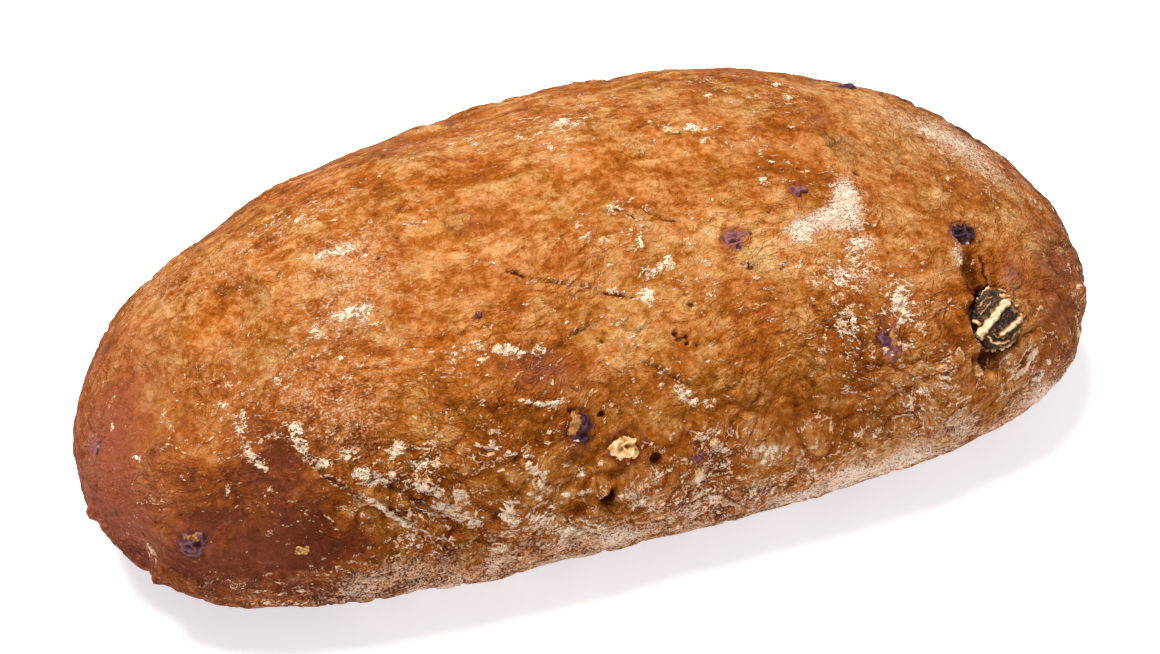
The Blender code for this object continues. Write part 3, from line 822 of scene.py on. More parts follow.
# mauve skin and juice of raisins just under the crust
crustStain = [
    (550, 366, 30, 12, 8, 0.28), (500, 372, 16, 8, 0, 0.24), (1030, 200, 8, 12, -20, 0.35),
    (731, 240, 9, 8, 10, 1.3), (744, 236, 9, 3, -18, 0.9), (738, 249, 4, 5, 0, 0.9),
    (798, 191, 9, 6, 0, 0.7), (1010, 272, 8, 14, 0, 0.55), (1043, 265, 7, 7, 0, 0.4),
    (92, 440, 8, 34, 6, 0.35), (98, 448, 6, 8, 0, 0.6), (889, 352, 8, 11, 0, 1.0), (952, 234, 4, 6, 0, 0.8),
    (478, 316, 5, 5, 0, 0.7), (818, 119, 8, 5, 0, 0.5), (594, 234, 8, 3, 10, 0.5), (470, 222, 9, 4, 0, 0.4),
    (684, 290, 4, 3, 0, 0.5), (698, 458, 6, 4, 0, 0.6),
]


def spotSum(spots, pixels, facing):
    total = np.zeros(len(pixels))
    for x, y, radiusX, radiusY, turn, amount in spots:
        aside, below = pixels[:, 0] - x, pixels[:, 1] - y
        cosine, sine = math.cos(math.radians(turn)), math.sin(math.radians(turn))
        first = (aside * cosine + below * sine) / radiusX
        second = (below * cosine - aside * sine) / radiusY
        total += amount * np.exp(-(first ** 2 + second ** 2))
    return total * facing


def varied(finish, points, pixels, facing):
    # a finish's placed patches, and noise of each size, amount and shift
    total = spotSum(finish["spots"], pixels, facing)
    for size, amount, shift in finish["noise"]:
        total += amount * noiseAt(points, size, shift)
    return total


def facingOf(points, normals):
    # 1 where the surface faces the photo's camera, and the cosine it makes with it
    toEye = np.array(eye) / mm - points
    cosine = (normals * toEye).sum(1) / np.linalg.norm(toEye, axis=1)
    return smoothStep(cosine, -0.05, 0.18), cosine


# how creases are drawn
creaseHand = {
    "taper": 2.2, "past": 0.7,       # how soon they deepen from their ends, and mm they reach past them
    "ends": (0.04, 0.96),            # shares of their length; beyond these they don't get fainter
    "broken": (0.80, 1.1, 3.6),      # their usual depth, how much it varies, and over how many mm
    "depths": (0.15, 1),             # the least and most depth that this may give
    "wander": (0.5, 2.0),            # mm that they stray aside, and over how many mm
    "lip": (1.9, 1.1),               # how far aside and how wide a lip is, in widths of the crease
    "shelf": (0.5, 4.5, 9.0),        # a shelf's edge in widths, and mm that it goes and fades out
    "flourBands": (1.1, 0.9), "flourLines": (0.45, 0.4),      # mm wide, on the upper and the lower side
    "dark": (1.4, 2.4),              # mm aside, where the painted shade fades out
}


def curveThrough(pixels, step=1.5):
    # a smooth line through pixels, as more pixels
    line = [Vector(p) for p in pixels]
    line = [line[0] * 2 - line[1], *line, line[-1] * 2 - line[-2]]
    smooth = []
    for before, start, end, after in zip(line, line[1:], line[2:], line[3:]):
        count = max(1, round((end - start).length / step))
        for i in range(count):
            t = i / count
            smooth.append(0.5 * (
                2 * start + (end - before) * t + (2 * before - 5 * start + 4 * end - after) * t * t
                + (3 * start - before - 3 * end + after) * t ** 3
            ))
    return smooth + [line[-2]]


def pathOf(found):
    # points, directions and normals of the places found on the crust
    found = [f for f in found if f[0] is not None]
    points = np.array([f[0] for f in found])
    along = np.gradient(points, axis=0)
    return points, along / np.linalg.norm(along, axis=1)[:, None], np.array([f[1] for f in found])


def besidePath(points, path, reach, steady=False):
    # for the points within reach of a path: their numbers, signed distances aside, and its strength there
    line, along, normals = path
    low, high = line.min(0) - reach, line.max(0) + reach
    near = np.nonzero(np.all((points > low) & (points < high), axis=1))[0]
    offset = points[near][:, None, :] - line[None, :, :]
    nearest = (offset ** 2).sum(2).argmin(1)
    offset = offset[np.arange(len(near)), nearest]
    close = (offset ** 2).sum(1) < reach * reach
    near, offset, nearest = near[close], offset[close], nearest[close]
    aside = (offset * np.cross(normals[nearest], along[nearest])).sum(1)
    past = (offset * along[nearest]).sum(1)
    share = np.clip(nearest / (len(line) - 1), *creaseHand["ends"])
    strength = clipped(np.sin(math.pi * share) * creaseHand["taper"])
    if not steady:
        usual, change, size = creaseHand["broken"]
        uneven = usual + change * noiseAt(line[nearest], size, (3, 3, 3))
        strength = strength * np.clip(uneven, *creaseHand["depths"])
    stray, size = creaseHand["wander"]
    return near, aside + stray * noiseAt(points[near], size), strength * bell(past, creaseHand["past"])


def spineBend(x):
    return spine["bend"] * (x / spine["end"]) ** 2


def inPlan(x, roll):
    # the point and normal of the crust at x mm along the loaf and degrees round its spine from the top
    middle = Vector((x, -spineBend(x), spine["height"]))
    out = Vector((0, -math.sin(math.radians(roll)), math.cos(math.radians(roll))))
    point, normal, _, _ = crustTree.ray_cast(middle + out * 200, -out)
    return point, normal


creasePaths = [
    (creaseKinds[kind], pathOf([seenAt(crustTree, p) for p in curveThrough(pixels)]))
    for kind, lines in crustCreases.items() for pixels in lines
]
pits = [(seenAt(crustTree, pixel)[0], radius, depth) for pixel, radius, depth in crustPits]
hiddenLumps = []


# The same kinds of folds, cracks, holes and flour where the photo doesn't show the loaf, strewn by chance

hiddenSide = {
    "seed": 7,
    "along": (-128, 128), "roll": (-114, -46),     # mm, and degrees down the far side from the top
    "creases": 60, "pits": 26, "lumps": 90,        # tries; what the photo would show is left out
    "length": (8, 34), "share": (0.4, 1),          # mm, and how much of it
    "step": 0.5, "slope": 0.35, "bend": 0.25,      # mm, and how much the direction and bend vary
    "waves": (0.25, 4),                            # how close and how high the bends are
    "cosine": -0.12,                               # with the photo's camera; what is below it is hidden
    "kinds": ("crack", "crease", "crease", "fold", "crease", "groove", "ridge", "crease", "lip"),
    "pitSize": ((0.6, 1.6), (0.5, 1.3)),           # mm: radius and depth
    "lumpSize": ((0.8, 3.2), (0.25, 0.5)),         # mm: radius and thickness
}


def unseen(place, normal):
    # whether the loaf's own outline hides a place from the photo
    return (eye / mm - Vector(place)).normalized().dot(Vector(normal)) < hiddenSide["cosine"]


def strewnPath(chance):
    side, step = hiddenSide, hiddenSide["step"]
    x, roll = chance.uniform(*side["along"]), chance.uniform(*side["roll"])
    length = chance.uniform(*side["length"]) * chance.uniform(*side["share"])
    slope = chance.gauss(0, side["slope"])
    bend, wave = chance.gauss(0, side["bend"]), chance.uniform(0, 6)
    pace, swing = side["waves"]
    found = []
    for i in range(int(length / step) + 4):
        run = i * step
        found.append(inPlan(x + run, roll + slope * run + bend * math.sin(run * pace + wave) * swing))
    return pathOf(found)


def strewnSpots(chance, count, sizes):
    # places that the photo doesn't show, each with its sizes
    spots = []
    for _ in range(count):
        place, normal = inPlan(chance.uniform(*hiddenSide["along"]), chance.uniform(*hiddenSide["roll"]))
        spot = (place, *(chance.uniform(*size) for size in sizes))
        if unseen(place, normal):
            spots.append(spot)
    return spots


def strewHiddenSide():
    chance = random.Random(hiddenSide["seed"])
    for _ in range(hiddenSide["creases"]):
        kind, path = creaseKinds[chance.choice(hiddenSide["kinds"])], strewnPath(chance)
        if all(unseen(place, normal) for place, _, normal in zip(*path)):
            creasePaths.append((kind, path))
    pits.extend(strewnSpots(chance, hiddenSide["pits"], hiddenSide["pitSize"]))
    hiddenLumps.extend(strewnSpots(chance, hiddenSide["lumps"], hiddenSide["lumpSize"]))


strewHiddenSide()
print("creases:", len(creasePaths), "pits:", len(pits))


def lumpsAt(points, pixels, facing):
    # how thick the flour's raised clumps are, in mm
    thick = spotSum(flourLumps, pixels, facing)
    for place, radius, height in hiddenLumps:
        thick += height * bell(distanceTo(points, place), radius)
    return thick


# Smaller faces where there is fine relief, and larger ones on the flat base

# where the fine relief is: mm thickness of clumps, width of creases, and mm beside creases, pits and fruit
fineRelief = {"lumps": 0.2, "creases": 1.0, "besideCreases": 1.6, "besidePits": 1.2, "besideFruit": 2.0}


def refineCrust():
    mesh = crust.data
    points = meshPoints(mesh)
    facing, _ = facingOf(points, meshNormals(mesh))
    wanted = lumpsAt(points, toPixels(points), facing) > fineRelief["lumps"]
    for kind, path in creasePaths:
        if kind["width"] < fineRelief["creases"]:
            wanted[besidePath(points, path, fineRelief["besideCreases"])[0]] = True
    for place, radius, _ in pits:
        wanted |= distanceTo(points, place) < radius + fineRelief["besidePits"]
    wanted |= gapToFruit(points, fruitNodes) < fineRelief["besideFruit"]
    flat = points[:, 2] < 0.01
    bm = bmesh.new()
    bm.from_mesh(mesh)
    added = bm.verts.layers.int.new("added")
    inside = [e for e in bm.edges if wanted[e.verts[0].index] and wanted[e.verts[1].index]]
    base = [v for v in bm.verts if flat[v.index]]
    base = [v for v in base if all(e.other_vert(v).co.z < 1e-5 for e in v.link_edges)]
    made = bmesh.ops.subdivide_edges(bm, edges=inside, cuts=1, use_grid_fill=True)
    for item in made["geom_inner"]:
        if isinstance(item, bmesh.types.BMVert):
            item[added] = 1
    bmesh.ops.unsubdivide(bm, verts=[v for v in base if v.is_valid], iterations=4)
    bm.to_mesh(mesh)
    bm.free()


refineCrust()
crustFaces = sum(len(p.vertices) - 2 for p in crust.data.polygons)
print("refined crust:", len(crust.data.vertices), "points,", crustFaces, "triangles")


# Which way the dough was pulled: distance along the loaf and distance down from its spine, in mm

flowShape = {
    "poles": (-92.0, 78.0),     # mm along, where the ends begin to turn
    "turnRadius": 50.0, "blunt": 5.0, "aside": 2.0,
    "spineHeight": 26.0, "rollRadius": 68.0,
    "warp": ((34.0, 6.0), (13.0, 2.4), (5.0, 0.8)),    # size and strength of the wander, mm
    "hills": [((500, 360), 36.0, -6.0), ((770, 405), 26.0, 6.0), ((255, 515), 30.0, 10.0),
              ((985, 330), 22.0, 8.0), ((640, 240), 30.0, 5.0)],   # pixel, radius and height
}


def flowOf(points):
    low, high = flowShape["poles"]
    x, y, z = points.T
    beyond = np.where(x > high, x - high, np.where(x < low, low - x, 0))
    side = np.hypot(y + spineBend(x) - flowShape["aside"], flowShape["blunt"])
    along = np.clip(x, low, high) + np.sign(x) * flowShape["turnRadius"] * np.arctan2(beyond, side)
    down = flowShape["rollRadius"] * np.arctan2(np.hypot(beyond, side), z - flowShape["spineHeight"])
    for pixel, radius, height in flowShape["hills"]:
        down = down + height * bell(distanceTo(points, seenAt(crustTree, pixel)[0]), radius)
    for size, strength in flowShape["warp"]:
        down = down + strength * noiseAt(points, size, (5, 9, 2))
    return np.stack([along, down, y], 1)


def puffed(noiseValues):
    # dough swollen up between sharp creases, which lie where the noise is 0
    return np.minimum(np.abs(noiseValues) * 4, 1)


def drawnNoise(flow, size, stretch, shift):
    # noise drawn out along the flow
    scaled = flow / np.array([size * stretch, size, size * 2.2]) + np.array(shift)
    return noiseAt(scaled, 1)


# The crust's relief, and the fields that colour it

def roundAdded(mesh, edges):
    # rounds off the points that refineCrust added, which lie halfway along the old edges
    points = meshPoints(mesh)
    added = readArray(mesh.attributes["added"].data, "value", 1, np.int32)
    for _ in range(2):
        points = np.where(added == 1, (points + neighbourMean(points, edges)) / 2, points)
    points[:, 2] = np.maximum(points[:, 2], 0)
    setPoints(mesh, points)
    return points


def creaseFields(points):
    # lift of the creases, the flour on their edges, and how strong their painted shade is and how far aside
    # that lies
    lift, flourEdge, flourLine, power = np.zeros((4, len(points)))
    side = np.full(len(points), 3.0)
    lipPlace, lipWidth = creaseHand["lip"]
    shelfEdge, shelfWidth, shelfReach = creaseHand["shelf"]
    for kind, path in creasePaths:
        width, depth, flour = kind["width"], kind["depth"], kind["flour"]
        reach = shelfReach if kind["shelf"] else 2.5 + 3 * width
        near, aside, weight = besidePath(points, path, reach, kind.get("steady", False))
        change = kind["lip"] * bell(aside - lipPlace * width, lipWidth * width) - depth * bell(aside, width)
        change += kind["shelf"] / (1 + np.exp(-aside / (shelfEdge * width))) * bell(aside, shelfWidth)
        lift[near] += weight * change
        edge = 0 if depth < 0 else 2.0 * width       # flour lies on a ridge, and beside a crease
        upper, lower = creaseHand["flourBands"]
        band = bell(aside - edge, upper) + 0.5 * bell(aside + 1.3 * edge, lower)
        upper, lower = creaseHand["flourLines"]
        line = np.maximum(bell(aside - edge, upper), bell(aside + edge, lower))
        flourEdge[near] = np.maximum(flourEdge[near], flour * weight * band)
        flourLine[near] = np.maximum(flourLine[near], min(1, 1.3 * flour) * weight * line)
        strength = weight * kind["dark"] * (1 - smoothStep(np.abs(aside), *creaseHand["dark"]))
        stronger = strength > power[near]
        side[near[stronger]] = (aside / width)[stronger]
        power[near[stronger]] = strength[stronger]
    return lift, flourEdge, flourLine, side, power


pitForm = {
    "dimple": (1.8, 2.3), "dimpleDark": 0.30,     # from this radius and up to this depth it's a pale dimple, with this share of the painted shade
    "rim": (0.25, 1.5, 0.5),                      # mm high, and its place and width in radii
}


def pitFields(points):
    # where the burst bubbles' holes are, how dark their painted shade is, and their lift
    inside, dark, lift = np.zeros((3, len(points)))
    broad, shallow = pitForm["dimple"]
    rim, rimPlace, rimWidth = pitForm["rim"]
    for place, radius, depth in pits:
        distance = distanceTo(points, place)
        hole = np.exp(-(distance / radius) ** 4)
        dimple = radius >= broad and depth <= shallow
        inside = np.maximum(inside, hole)
        dark = np.maximum(dark, hole * min(1, depth) * (pitForm["dimpleDark"] if dimple else 1))
        lift += rim * bell(distance - rimPlace * radius, rimWidth * radius)
        lift -= depth * (bell(distance, radius) if dimple else hole)
    return inside, dark, lift


def dressCrust():
    shape, mesh = crustShape, crust.data
    edges = meshEdges(mesh)
    points = roundAdded(mesh, edges)
    normals, pixels, height = meshNormals(mesh), toPixels(points), points[:, 2]
    facing, cosine = facingOf(points, normals)
    flow = flowOf(points)
    below = ((smoothed(points, edges, shape["hollowRounds"]) - points) * normals).sum(1)
    hollow = smoothStep(below, *shape["hollow"])
    gap, nutGap = gapToFruit(points, fruitNodes), gapToFruit(points, shape["openSockets"])
    lumps = lumpsAt(points, pixels, facing)
    inPit, pit, pitLift = pitFields(points)
    creaseLift, flourEdge, flourLine, side, power = creaseFields(points)

    def banded(finish, *names):
        # a finish's values at the heights of its bands
        return np.interp(height, finish["bands"], [finish[name] for name in names])

    def patches(finish):
        return varied(finish, points, pixels, facing)

    wrinkled = banded(crustFolds, "low", "middle", "top") + patches(crustFolds)
    wrinkled = np.clip(wrinkled, *shape["wrinkleLimits"])
    size, stretch, foldRise = shape["folds"]
    fold = drawnNoise(flow, size, stretch, (6, 6, 2))
    size, stretch, plyRise = shape["wrinkles"]
    swell, ply = puffed(fold), puffed(drawnNoise(flow, size, stretch, (3, 2, 5)))
    crest = wrinkled * (0.6 * (swell - 0.6) + 0.4 * (ply - 0.6))
    lift = wrinkled * (foldRise * swell + plyRise * ply)
    for size, rise in shape["unevenness"]:
        lift += rise * noiseAt(points, size, (3, 1, 4))
    lift = lift * (1 - hollow) * (1 - inPit) + creaseLift + pitLift
    for pixel, radius, rise in crustTags:
        lift += rise * bell(distanceTo(points, seenAt(crustTree, pixel)[0]), radius)
    rise, away, size = shape["fruitSwell"]
    drop, width, clear = shape["clearance"]
    beside = bell(gap - away, away) * (nutGap > clear) * (1 + noiseAt(points, size, (1, 1, 6)))
    lift += (rise * beside - drop * bell(nutGap, width)) * (1 - hollow)
    share, change, size = shape["clumps"]
    lift += lumps * (share + change * noiseAt(points, size, (2, 2, 2)))
    moved = points + normals * (lift * smoothStep(height, 0.0, shape["baseBand"]))[:, None]
    carried = shape["nutShift"] * (1 - smoothStep(nutGap, 0.8, fruitReach))
    moved += np.array(rightward) * carried[:, None]
    moved[:, 2] = np.where(height < 0.02, 0.0, np.maximum(moved[:, 2], 0.0))
    setPoints(mesh, moved)

    endward, averted = np.abs(points[:, 0]), 1 - facing
    tone = banded(crustTone, "base", "side", "top") + patches(crustTone)
    tone -= crustTone["averted"] * averted * smoothStep(endward, *crustTone["ends"])
    # painted shade towards the outline, and darker beside the fruit
    edge, start, span = crustTone["edges"]
    beside, width = crustTone["fruit"]
    tone -= edge * smoothStep(start - cosine, 0, span) + beside * bell(gap, width)
    red = crustRed["averted"] * averted * smoothStep(endward, *crustRed["ends"]) + patches(crustRed)
    beside, away, width = crustRed["fruit"]
    red += beside * bell(gap - away, width)
    bare = 1 - crustFlour["bareness"] * (1 - smoothStep(points[:, 0], *crustFlour["bareEnd"]))
    flour = crustFlour["all"] + (banded(crustFlour, "low", "middle", "all") - crustFlour["all"]) * bare
    flour = np.maximum(flour + patches(crustFlour) + crustFlour["crests"] * crest, flourEdge)
    flour = np.minimum(flour + crustFlour["lumps"] * lumps, crustFlour["most"])
    flour = flour * (1 - inPit) * (1 - hollow)
    size, change, shift = crustPowder["patchy"]
    powder = banded(crustPowder, "low", "middle", "high") * bare * (1 + change * noiseAt(points, size, shift))
    powder += spotSum(crustPowder["spots"], pixels, facing)
    stain = spotSum(crustStain, pixels, facing)
    storeValues(mesh, {
        "tone": clipped(tone), "red": clipped(red), "flour": clipped(flour), "powder": clipped(powder),
        "stain": clipped(stain), "hollow": hollow, "pit": pit, "crackSide": side, "crackPower": power,
        "flow": flow, "fold": fold, "wrinkled": wrinkled, "flourLine": flourLine,
    })
    mesh.shade_smooth()


dressCrust()
crustTree = treeOf(crust.data)
print("crust relief and colour fields ready")


# The crust's finish

crustFinish = {
    "tones": [
        (0.00, (0.070, 0.014, 0.002)), (0.20, (0.165, 0.038, 0.003)), (0.42, (0.30, 0.081, 0.009)),
        (0.62, (0.45, 0.178, 0.052)), (0.82, (0.58, 0.284, 0.110)), (1.00, (0.70, 0.406, 0.190)),
    ],
    "ochreTint": (0.95, 1.10, 1.12),           # what some areas' red, green and blue are multiplied by
    "redTint": (0.245, 0.064, 0.036), "stainColour": (0.23, 0.086, 0.088),
    # painted shade: the darkest in cracks and holes, and a browner one in creases and beside cracks
    "crackColour": (0.082, 0.014, 0.001), "creaseColour": (0.15, 0.032, 0.002),
    "crumbColour": (0.17, 0.070, 0.020),       # painted shade inside sockets, tears and other hollows
    "powderColour": (0.60, 0.37, 0.245), "whiteColour": (0.78, 0.60, 0.49),
    "clumpColour": (0.89, 0.68, 0.50), "fleckColour": (0.84, 0.54, 0.34), "dustColour": (0.74, 0.40, 0.22),
    "clumpCover": 0.86, "fleckCover": 0.85, "dustCover": 0.50,
    "roughness": (0.42, 0.62), "flourRoughness": 0.35,
    # noises: scale, detail, roughness and curl
    "cloud": (0.11, 4.0, 0.6), "mottle": (0.42, 3.0, 0.6, 0.4), "grain": (1.5, 3.0, 0.6),
    "ochre": (0.055, 3.0, 0.6, 0.5),
    # pulled dough and drawn folds, broad and fine: size in mm, and how far they are drawn out
    "streaks": ((7.0, 1.9), (2.4, 1.7)), "folds": ((3.0, 1.3), (1.6, 1.1)),
}


def makeCrustMaterial():
    material, tree, shader = newMaterial("ryeCrust", 0.5, 0.01)
    finish, place, flow = crustFinish, inMillimetres(tree), stored(tree, "flow", "Vector")
    wrinkled = stored(tree, "wrinkled")
    broad, fine = (
        placeGroup(tree, streakGroup, Flow=flow, Size=size, Stretch=stretch, Detail=3.0)["Value"]
        for size, stretch in finish["streaks"]
    )
    middling, small = (
        placeGroup(tree, foldGroup, Flow=flow, Across=size, Stretch=stretch, Curl=1.0)
        for size, stretch in finish["folds"]
    )
    noises = ("cloud", "mottle", "grain", "ochre")
    cloud, mottle, grain, ochre = (grainOf(place, *finish[name]) for name in noises)

    # the folds that the mesh has, and finer ones, whose creases get painted shade
    side = swayed(stored(tree, "fold"), mottle, 0.22)
    depth = abs(side)
    lips = largest(bandOf(side, 0.05, 0.20, 0.04), middling["Lip"])
    creases = largest(ranged(depth, 0.01, 0.06, 0.58, 0.0), middling["Crease"] * 0.27)
    creases = largest(creases, small["Crease"] * 0.07) * ranged(cloud, 0.42, 0.58, 0.12, 1.0) * wrinkled

    # the tone varies with noise, with painted shade in the folds' creases and painted light on their swells
    tone = stored(tree, "tone")
    for value, strength in (
        (broad, 0.20), (fine, 0.10), (cloud, 0.72), (mottle, 0.72), (grain, 0.38),
        (ranged(depth, 0.0, 0.25) * wrinkled, 0.16), (middling["Swell"] * wrinkled, 0.12),
    ):
        tone = swayed(tone, value, strength)
    colour = rampOf(tone, finish["tones"])
    colour = blended(ranged(ochre, 0.42, 0.66), colour, finish["ochreTint"], "MULTIPLY")
    redness = stored(tree, "red") * ranged(mottle, 0.3, 0.65, 0.5, 1.0)
    colour = blended(redness, colour, finish["redTint"])
    stain = ranged(swayed(stored(tree, "stain"), mottle, 1.2), 0.30, 0.75, 0.0, 0.85)
    colour = blended(stain, colour, finish["stainColour"])
    # painted shade in the creases
    colour = blended(creases, colour, finish["creaseColour"])
    # painted shade in hollows
    colour = blended(ranged(stored(tree, "hollow"), 0.1, 0.7, 0.0, 0.85), colour, finish["crumbColour"])

    # painted shade in cracks and holes, darkest in their middles
    crackSide, crackPower = abs(stored(tree, "crackSide")), stored(tree, "crackPower")
    crack = ranged(swayed(crackSide, mottle, 4.0), 0.35, 1.05, 1.0, 0.0) * crackPower
    crack = ranged(crack, 0.2, 0.9)
    # a soft painted shade beside the cracks
    colour = blended(ranged(crackSide, 0.5, 3.4, 0.55, 0.0) * crackPower, colour, finish["creaseColour"])
    dark = largest(crack, ranged(stored(tree, "pit"), 0.25, 0.80) * 0.8)
    colour = blended(dark, colour, finish["crackColour"])

    # flour: a thin film, and over it dust, flecks and clumps, all kept out of the painted shade
    kept = ranged(dark, 0.2, 0.8, 1.0, 0.0)
    laid = stored(tree, "powder")
    powder = swayed(laid, mottle, 0.9)
    granular = ranged(swayed(powder, grain, 5.0), 0.2, 0.9)
    powder = granular * ranged(powder, 0.05, 0.6, 0.0, 0.85) * ranged(creases, 0.1, 0.5, 1.0, 0.15)
    film = blended(ranged(laid, 0.55, 0.95), finish["powderColour"], finish["whiteColour"])
    colour = blended(powder * kept, colour, film)
    flour = placeGroup(tree, flourGroup, Flow=flow, Place=place, Lips=lips,
                       Amount=stored(tree, "flour") * kept, Line=stored(tree, "flourLine") * kept)
    clumps = flour["Clumps"] * ranged(creases, 0.15, 0.5, 1.0, 0.1)
    for name, cover in (("dust", flour["Dust"]), ("fleck", flour["Flecks"]), ("clump", clumps)):
        colour = blended(cover * finish[name + "Cover"], colour, finish[name + "Colour"])

    floured = largest(clumps, largest(flour["Flecks"], powder)) * finish["flourRoughness"]
    rough = calc("ADD", ranged(mottle, 0.3, 0.7, *finish["roughness"]), floured, clamp=True)
    height = fine * 0.12
    for value, strength in (
        (middling["Swell"] * wrinkled, 0.66), (small["Swell"] * wrinkled, 0.30),
        (lips, 0.16), (mottle, 0.6), (grain, 0.24), (creases, -0.28), (crack, -0.4),
        (clumps, 0.40), (flour["Flecks"], 0.36), (flour["Dust"], 0.14), (powder, 0.16),
    ):
        height = height + value * strength
    plug(shader, {"Base Color": colour, "Roughness": rough, "Normal": bumped(height, 0.9, 0.85)})
    return material


crust.data.materials.clear()
crust.data.materials.append(makeCrustMaterial())
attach(crust, "root")
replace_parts(crust, "loaf")
print("crust finished")


# Raisins and nuts: each CAD piece rounded and wrinkled, with the dough's skin still on parts of it

fruitForms = {
    # rounding steps, growth, and the size and height of the wavering, folds and fine wrinkles, mm
    "raisin": {
        "ending": ".skin", "rounding": 3, "growth": 1.06, "film": 0.25,       # mm thick
        "waver": (4.5, 1.0), "fold": (2.2, 0.85), "fine": (0.9, 0.16),
    },
    "nut": {
        "ending": ".meat", "rounding": 3, "growth": 1.02, "lumps": 2.0,       # mm high
        "shades": (0.33, 0.17, 0.28),        # in the grooves, and what lumps and crests add; the lumps' share paints shade between them
        "waver": (3.4, 1.0), "fold": (2.2, 0.8), "fine": (1.0, 0.2),
    },
}
fruitFinish = {
    # colours from the folds' bottoms to their crests: painted shade in the bottoms and painted highlight on
    # the crests
    "raisinSkin": [
        (0.15, (0.004, 0.002, 0.004)), (0.50, (0.014, 0.005, 0.011)),
        (0.80, (0.032, 0.013, 0.024)), (1.00, (0.080, 0.046, 0.064)),
    ],
    "rosySkin": [
        (0.15, (0.045, 0.007, 0.016)), (0.50, (0.11, 0.024, 0.040)),
        (0.80, (0.20, 0.066, 0.068)), (1.00, (0.28, 0.14, 0.14)),
    ],
    "nutMeat": [
        (0.00, (0.015, 0.008, 0.010)), (0.20, (0.040, 0.024, 0.016)), (0.34, (0.20, 0.085, 0.025)),
        (0.52, (0.60, 0.30, 0.10)), (0.74, (0.77, 0.55, 0.30)), (1.00, (0.88, 0.76, 0.59)),
    ],
    "film": ((0.30, 0.105, 0.022), (0.50, 0.235, 0.065)),
    # pale marks on raisins: flour, and painted glints
    "flour": (0.86, 0.74, 0.66),
    # noises: scale, detail and roughness
    "mottle": (0.8, 3.0, 0.6), "raisinGrain": (2.4, 3.0, 0.65), "nutGrain": (2.6, 3.0, 0.65),
}

# spots as for the crust; film is the dough's skin, pale is flour and painted glints; blush turns blue-black
# to mauve
fruitMarks = {
    "raisin_shoulder": dict(
        blush=0.12, film=[(950, 246, 5, 5, 0, 0.7)],
        pale=[(966, 243, 2, 2, 0, 1), (951, 242, 2, 2, 0, 0.9), (960, 225, 3, 1, 0, 0.6)]),
    "raisin_side": dict(blush=0.45, film=[(897, 336, 7, 17, 0, 1.3)], pale=[(898, 331, 4, 10, 0, 0.9)]),
    "raisin_crown": dict(blush=0.95, film=[(724, 247, 5, 4, 0, 0.5)], pale=[]),
    "raisin_crown_small": dict(blush=0.85, film=[(796, 183, 9, 3, 0, 0.7)], pale=[]),
    "raisin_front": dict(blush=0.20, film=[(572, 423, 8, 12, 12, 1.5)],
                         pale=[(576, 441, 4, 2, -10, 1), (577, 451, 8, 2, 0, 0.8)]),
    "raisin_brow": dict(blush=0.1, film=[], pale=[]),
    "raisin_heel": dict(blush=0.50, film=[(193, 537, 13, 7, 0, 0.62)], pale=[]),
    "raisin_spine": dict(blush=0.6, film=[(464, 217, 24, 14, 0, 1.6)], pale=[]),
}
hiddenMarks = dict(blush=0.4, film=[], pale=[])
hiddenFilm = {"size": 5.0, "edge": (0.0, 0.35)}      # mm across, and the noise from none to full film

# nut pieces: spots where a lump stands up, and elsewhere the crust closes over them
nutLumps = {
    "nut_front": [(615, 451, 8, 10, 0, 1), (634, 441, 6, 6, 0, 1), (633, 453, 8, 5, 0, 0.8),
                  (622, 458, 7, 5, 0, 0.6)],
}


def markedBlend(base, name, colour, grain, strength):
    # a colour laid over the base where the stored mark is strong, with a ragged edge
    mark = swayed(stored(base.tree, name), grain, 0.9)
    return blended(ranged(mark, 0.42, 0.60, 0.0, strength), base, colour)


def makeRaisinMaterial():
    material, tree, shader = newMaterial("raisinSkin", 0.4, 0.10)
    place = inMillimetres(tree)
    mottle, grain = (grainOf(place, *fruitFinish[name]) for name in ("mottle", "raisinGrain"))
    # the skin's colour, with painted shade in the folds and painted highlight on their crests
    height = stored(tree, "ridge") * 0.75 + mottle * 0.4
    skin, rosy = rampOf(height, fruitFinish["raisinSkin"]), rampOf(height, fruitFinish["rosySkin"])
    colour = blended(stored(tree, "blush"), skin, rosy)
    film = blended(ranged(grain, 0.36, 0.64), *fruitFinish["film"])
    colour = markedBlend(colour, "film", film, mottle, 0.92)
    # flour and painted glints
    colour = markedBlend(colour, "pale", fruitFinish["flour"], grain, 0.85)
    rough = ranged(mottle + stored(tree, "film") * 0.3, 0.3, 0.8, 0.28, 0.62)
    normal = bumped(mottle * 0.6 + grain * 0.5, 0.7, 0.5)
    plug(shader, {"Base Color": colour, "Roughness": rough, "Normal": normal})
    return material


def makeNutMaterial():
    material, tree, shader = newMaterial("nutMeat", 0.55, 0.22)
    place = inMillimetres(tree)
    mottle, grain = (grainOf(place, *fruitFinish[name]) for name in ("mottle", "nutGrain"))
    kernel = swayed(swayed(stored(tree, "kernel"), mottle, 0.5), grain, 0.3)
    normal = bumped(mottle * 0.6 + grain * 0.5, 0.6, 0.5)
    plug(shader, {"Base Color": rampOf(kernel, fruitFinish["nutMeat"]), "Normal": normal})
    return material


fruitMaterials = {"raisin": makeRaisinMaterial(), "nut": makeNutMaterial()}


def roundedFruit(node, form):
    source = newObject(node + "Rounded", mergedCopy(node))
    rounding = source.modifiers.new("rounding", "SUBSURF")
    rounding.levels = rounding.render_levels = form["rounding"]
    mesh = evaluatedMesh(source)
    bpy.data.objects.remove(source)
    points = meshPoints(mesh)
    middle = points.mean(0)
    setPoints(mesh, middle + (points - middle) * form["growth"])
    return mesh, meshPoints(mesh), meshNormals(mesh), middle


def ridgesAt(points, size, shift):
    return 1 - 2 * np.abs(noiseAt(points, size, shift))


def finishFruit(name, mesh, kind):
    mesh.materials.clear()
    mesh.materials.append(fruitMaterials[kind])
    mesh.shade_smooth()
    obj = newObject(name, mesh)
    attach(obj, "root")
    return obj


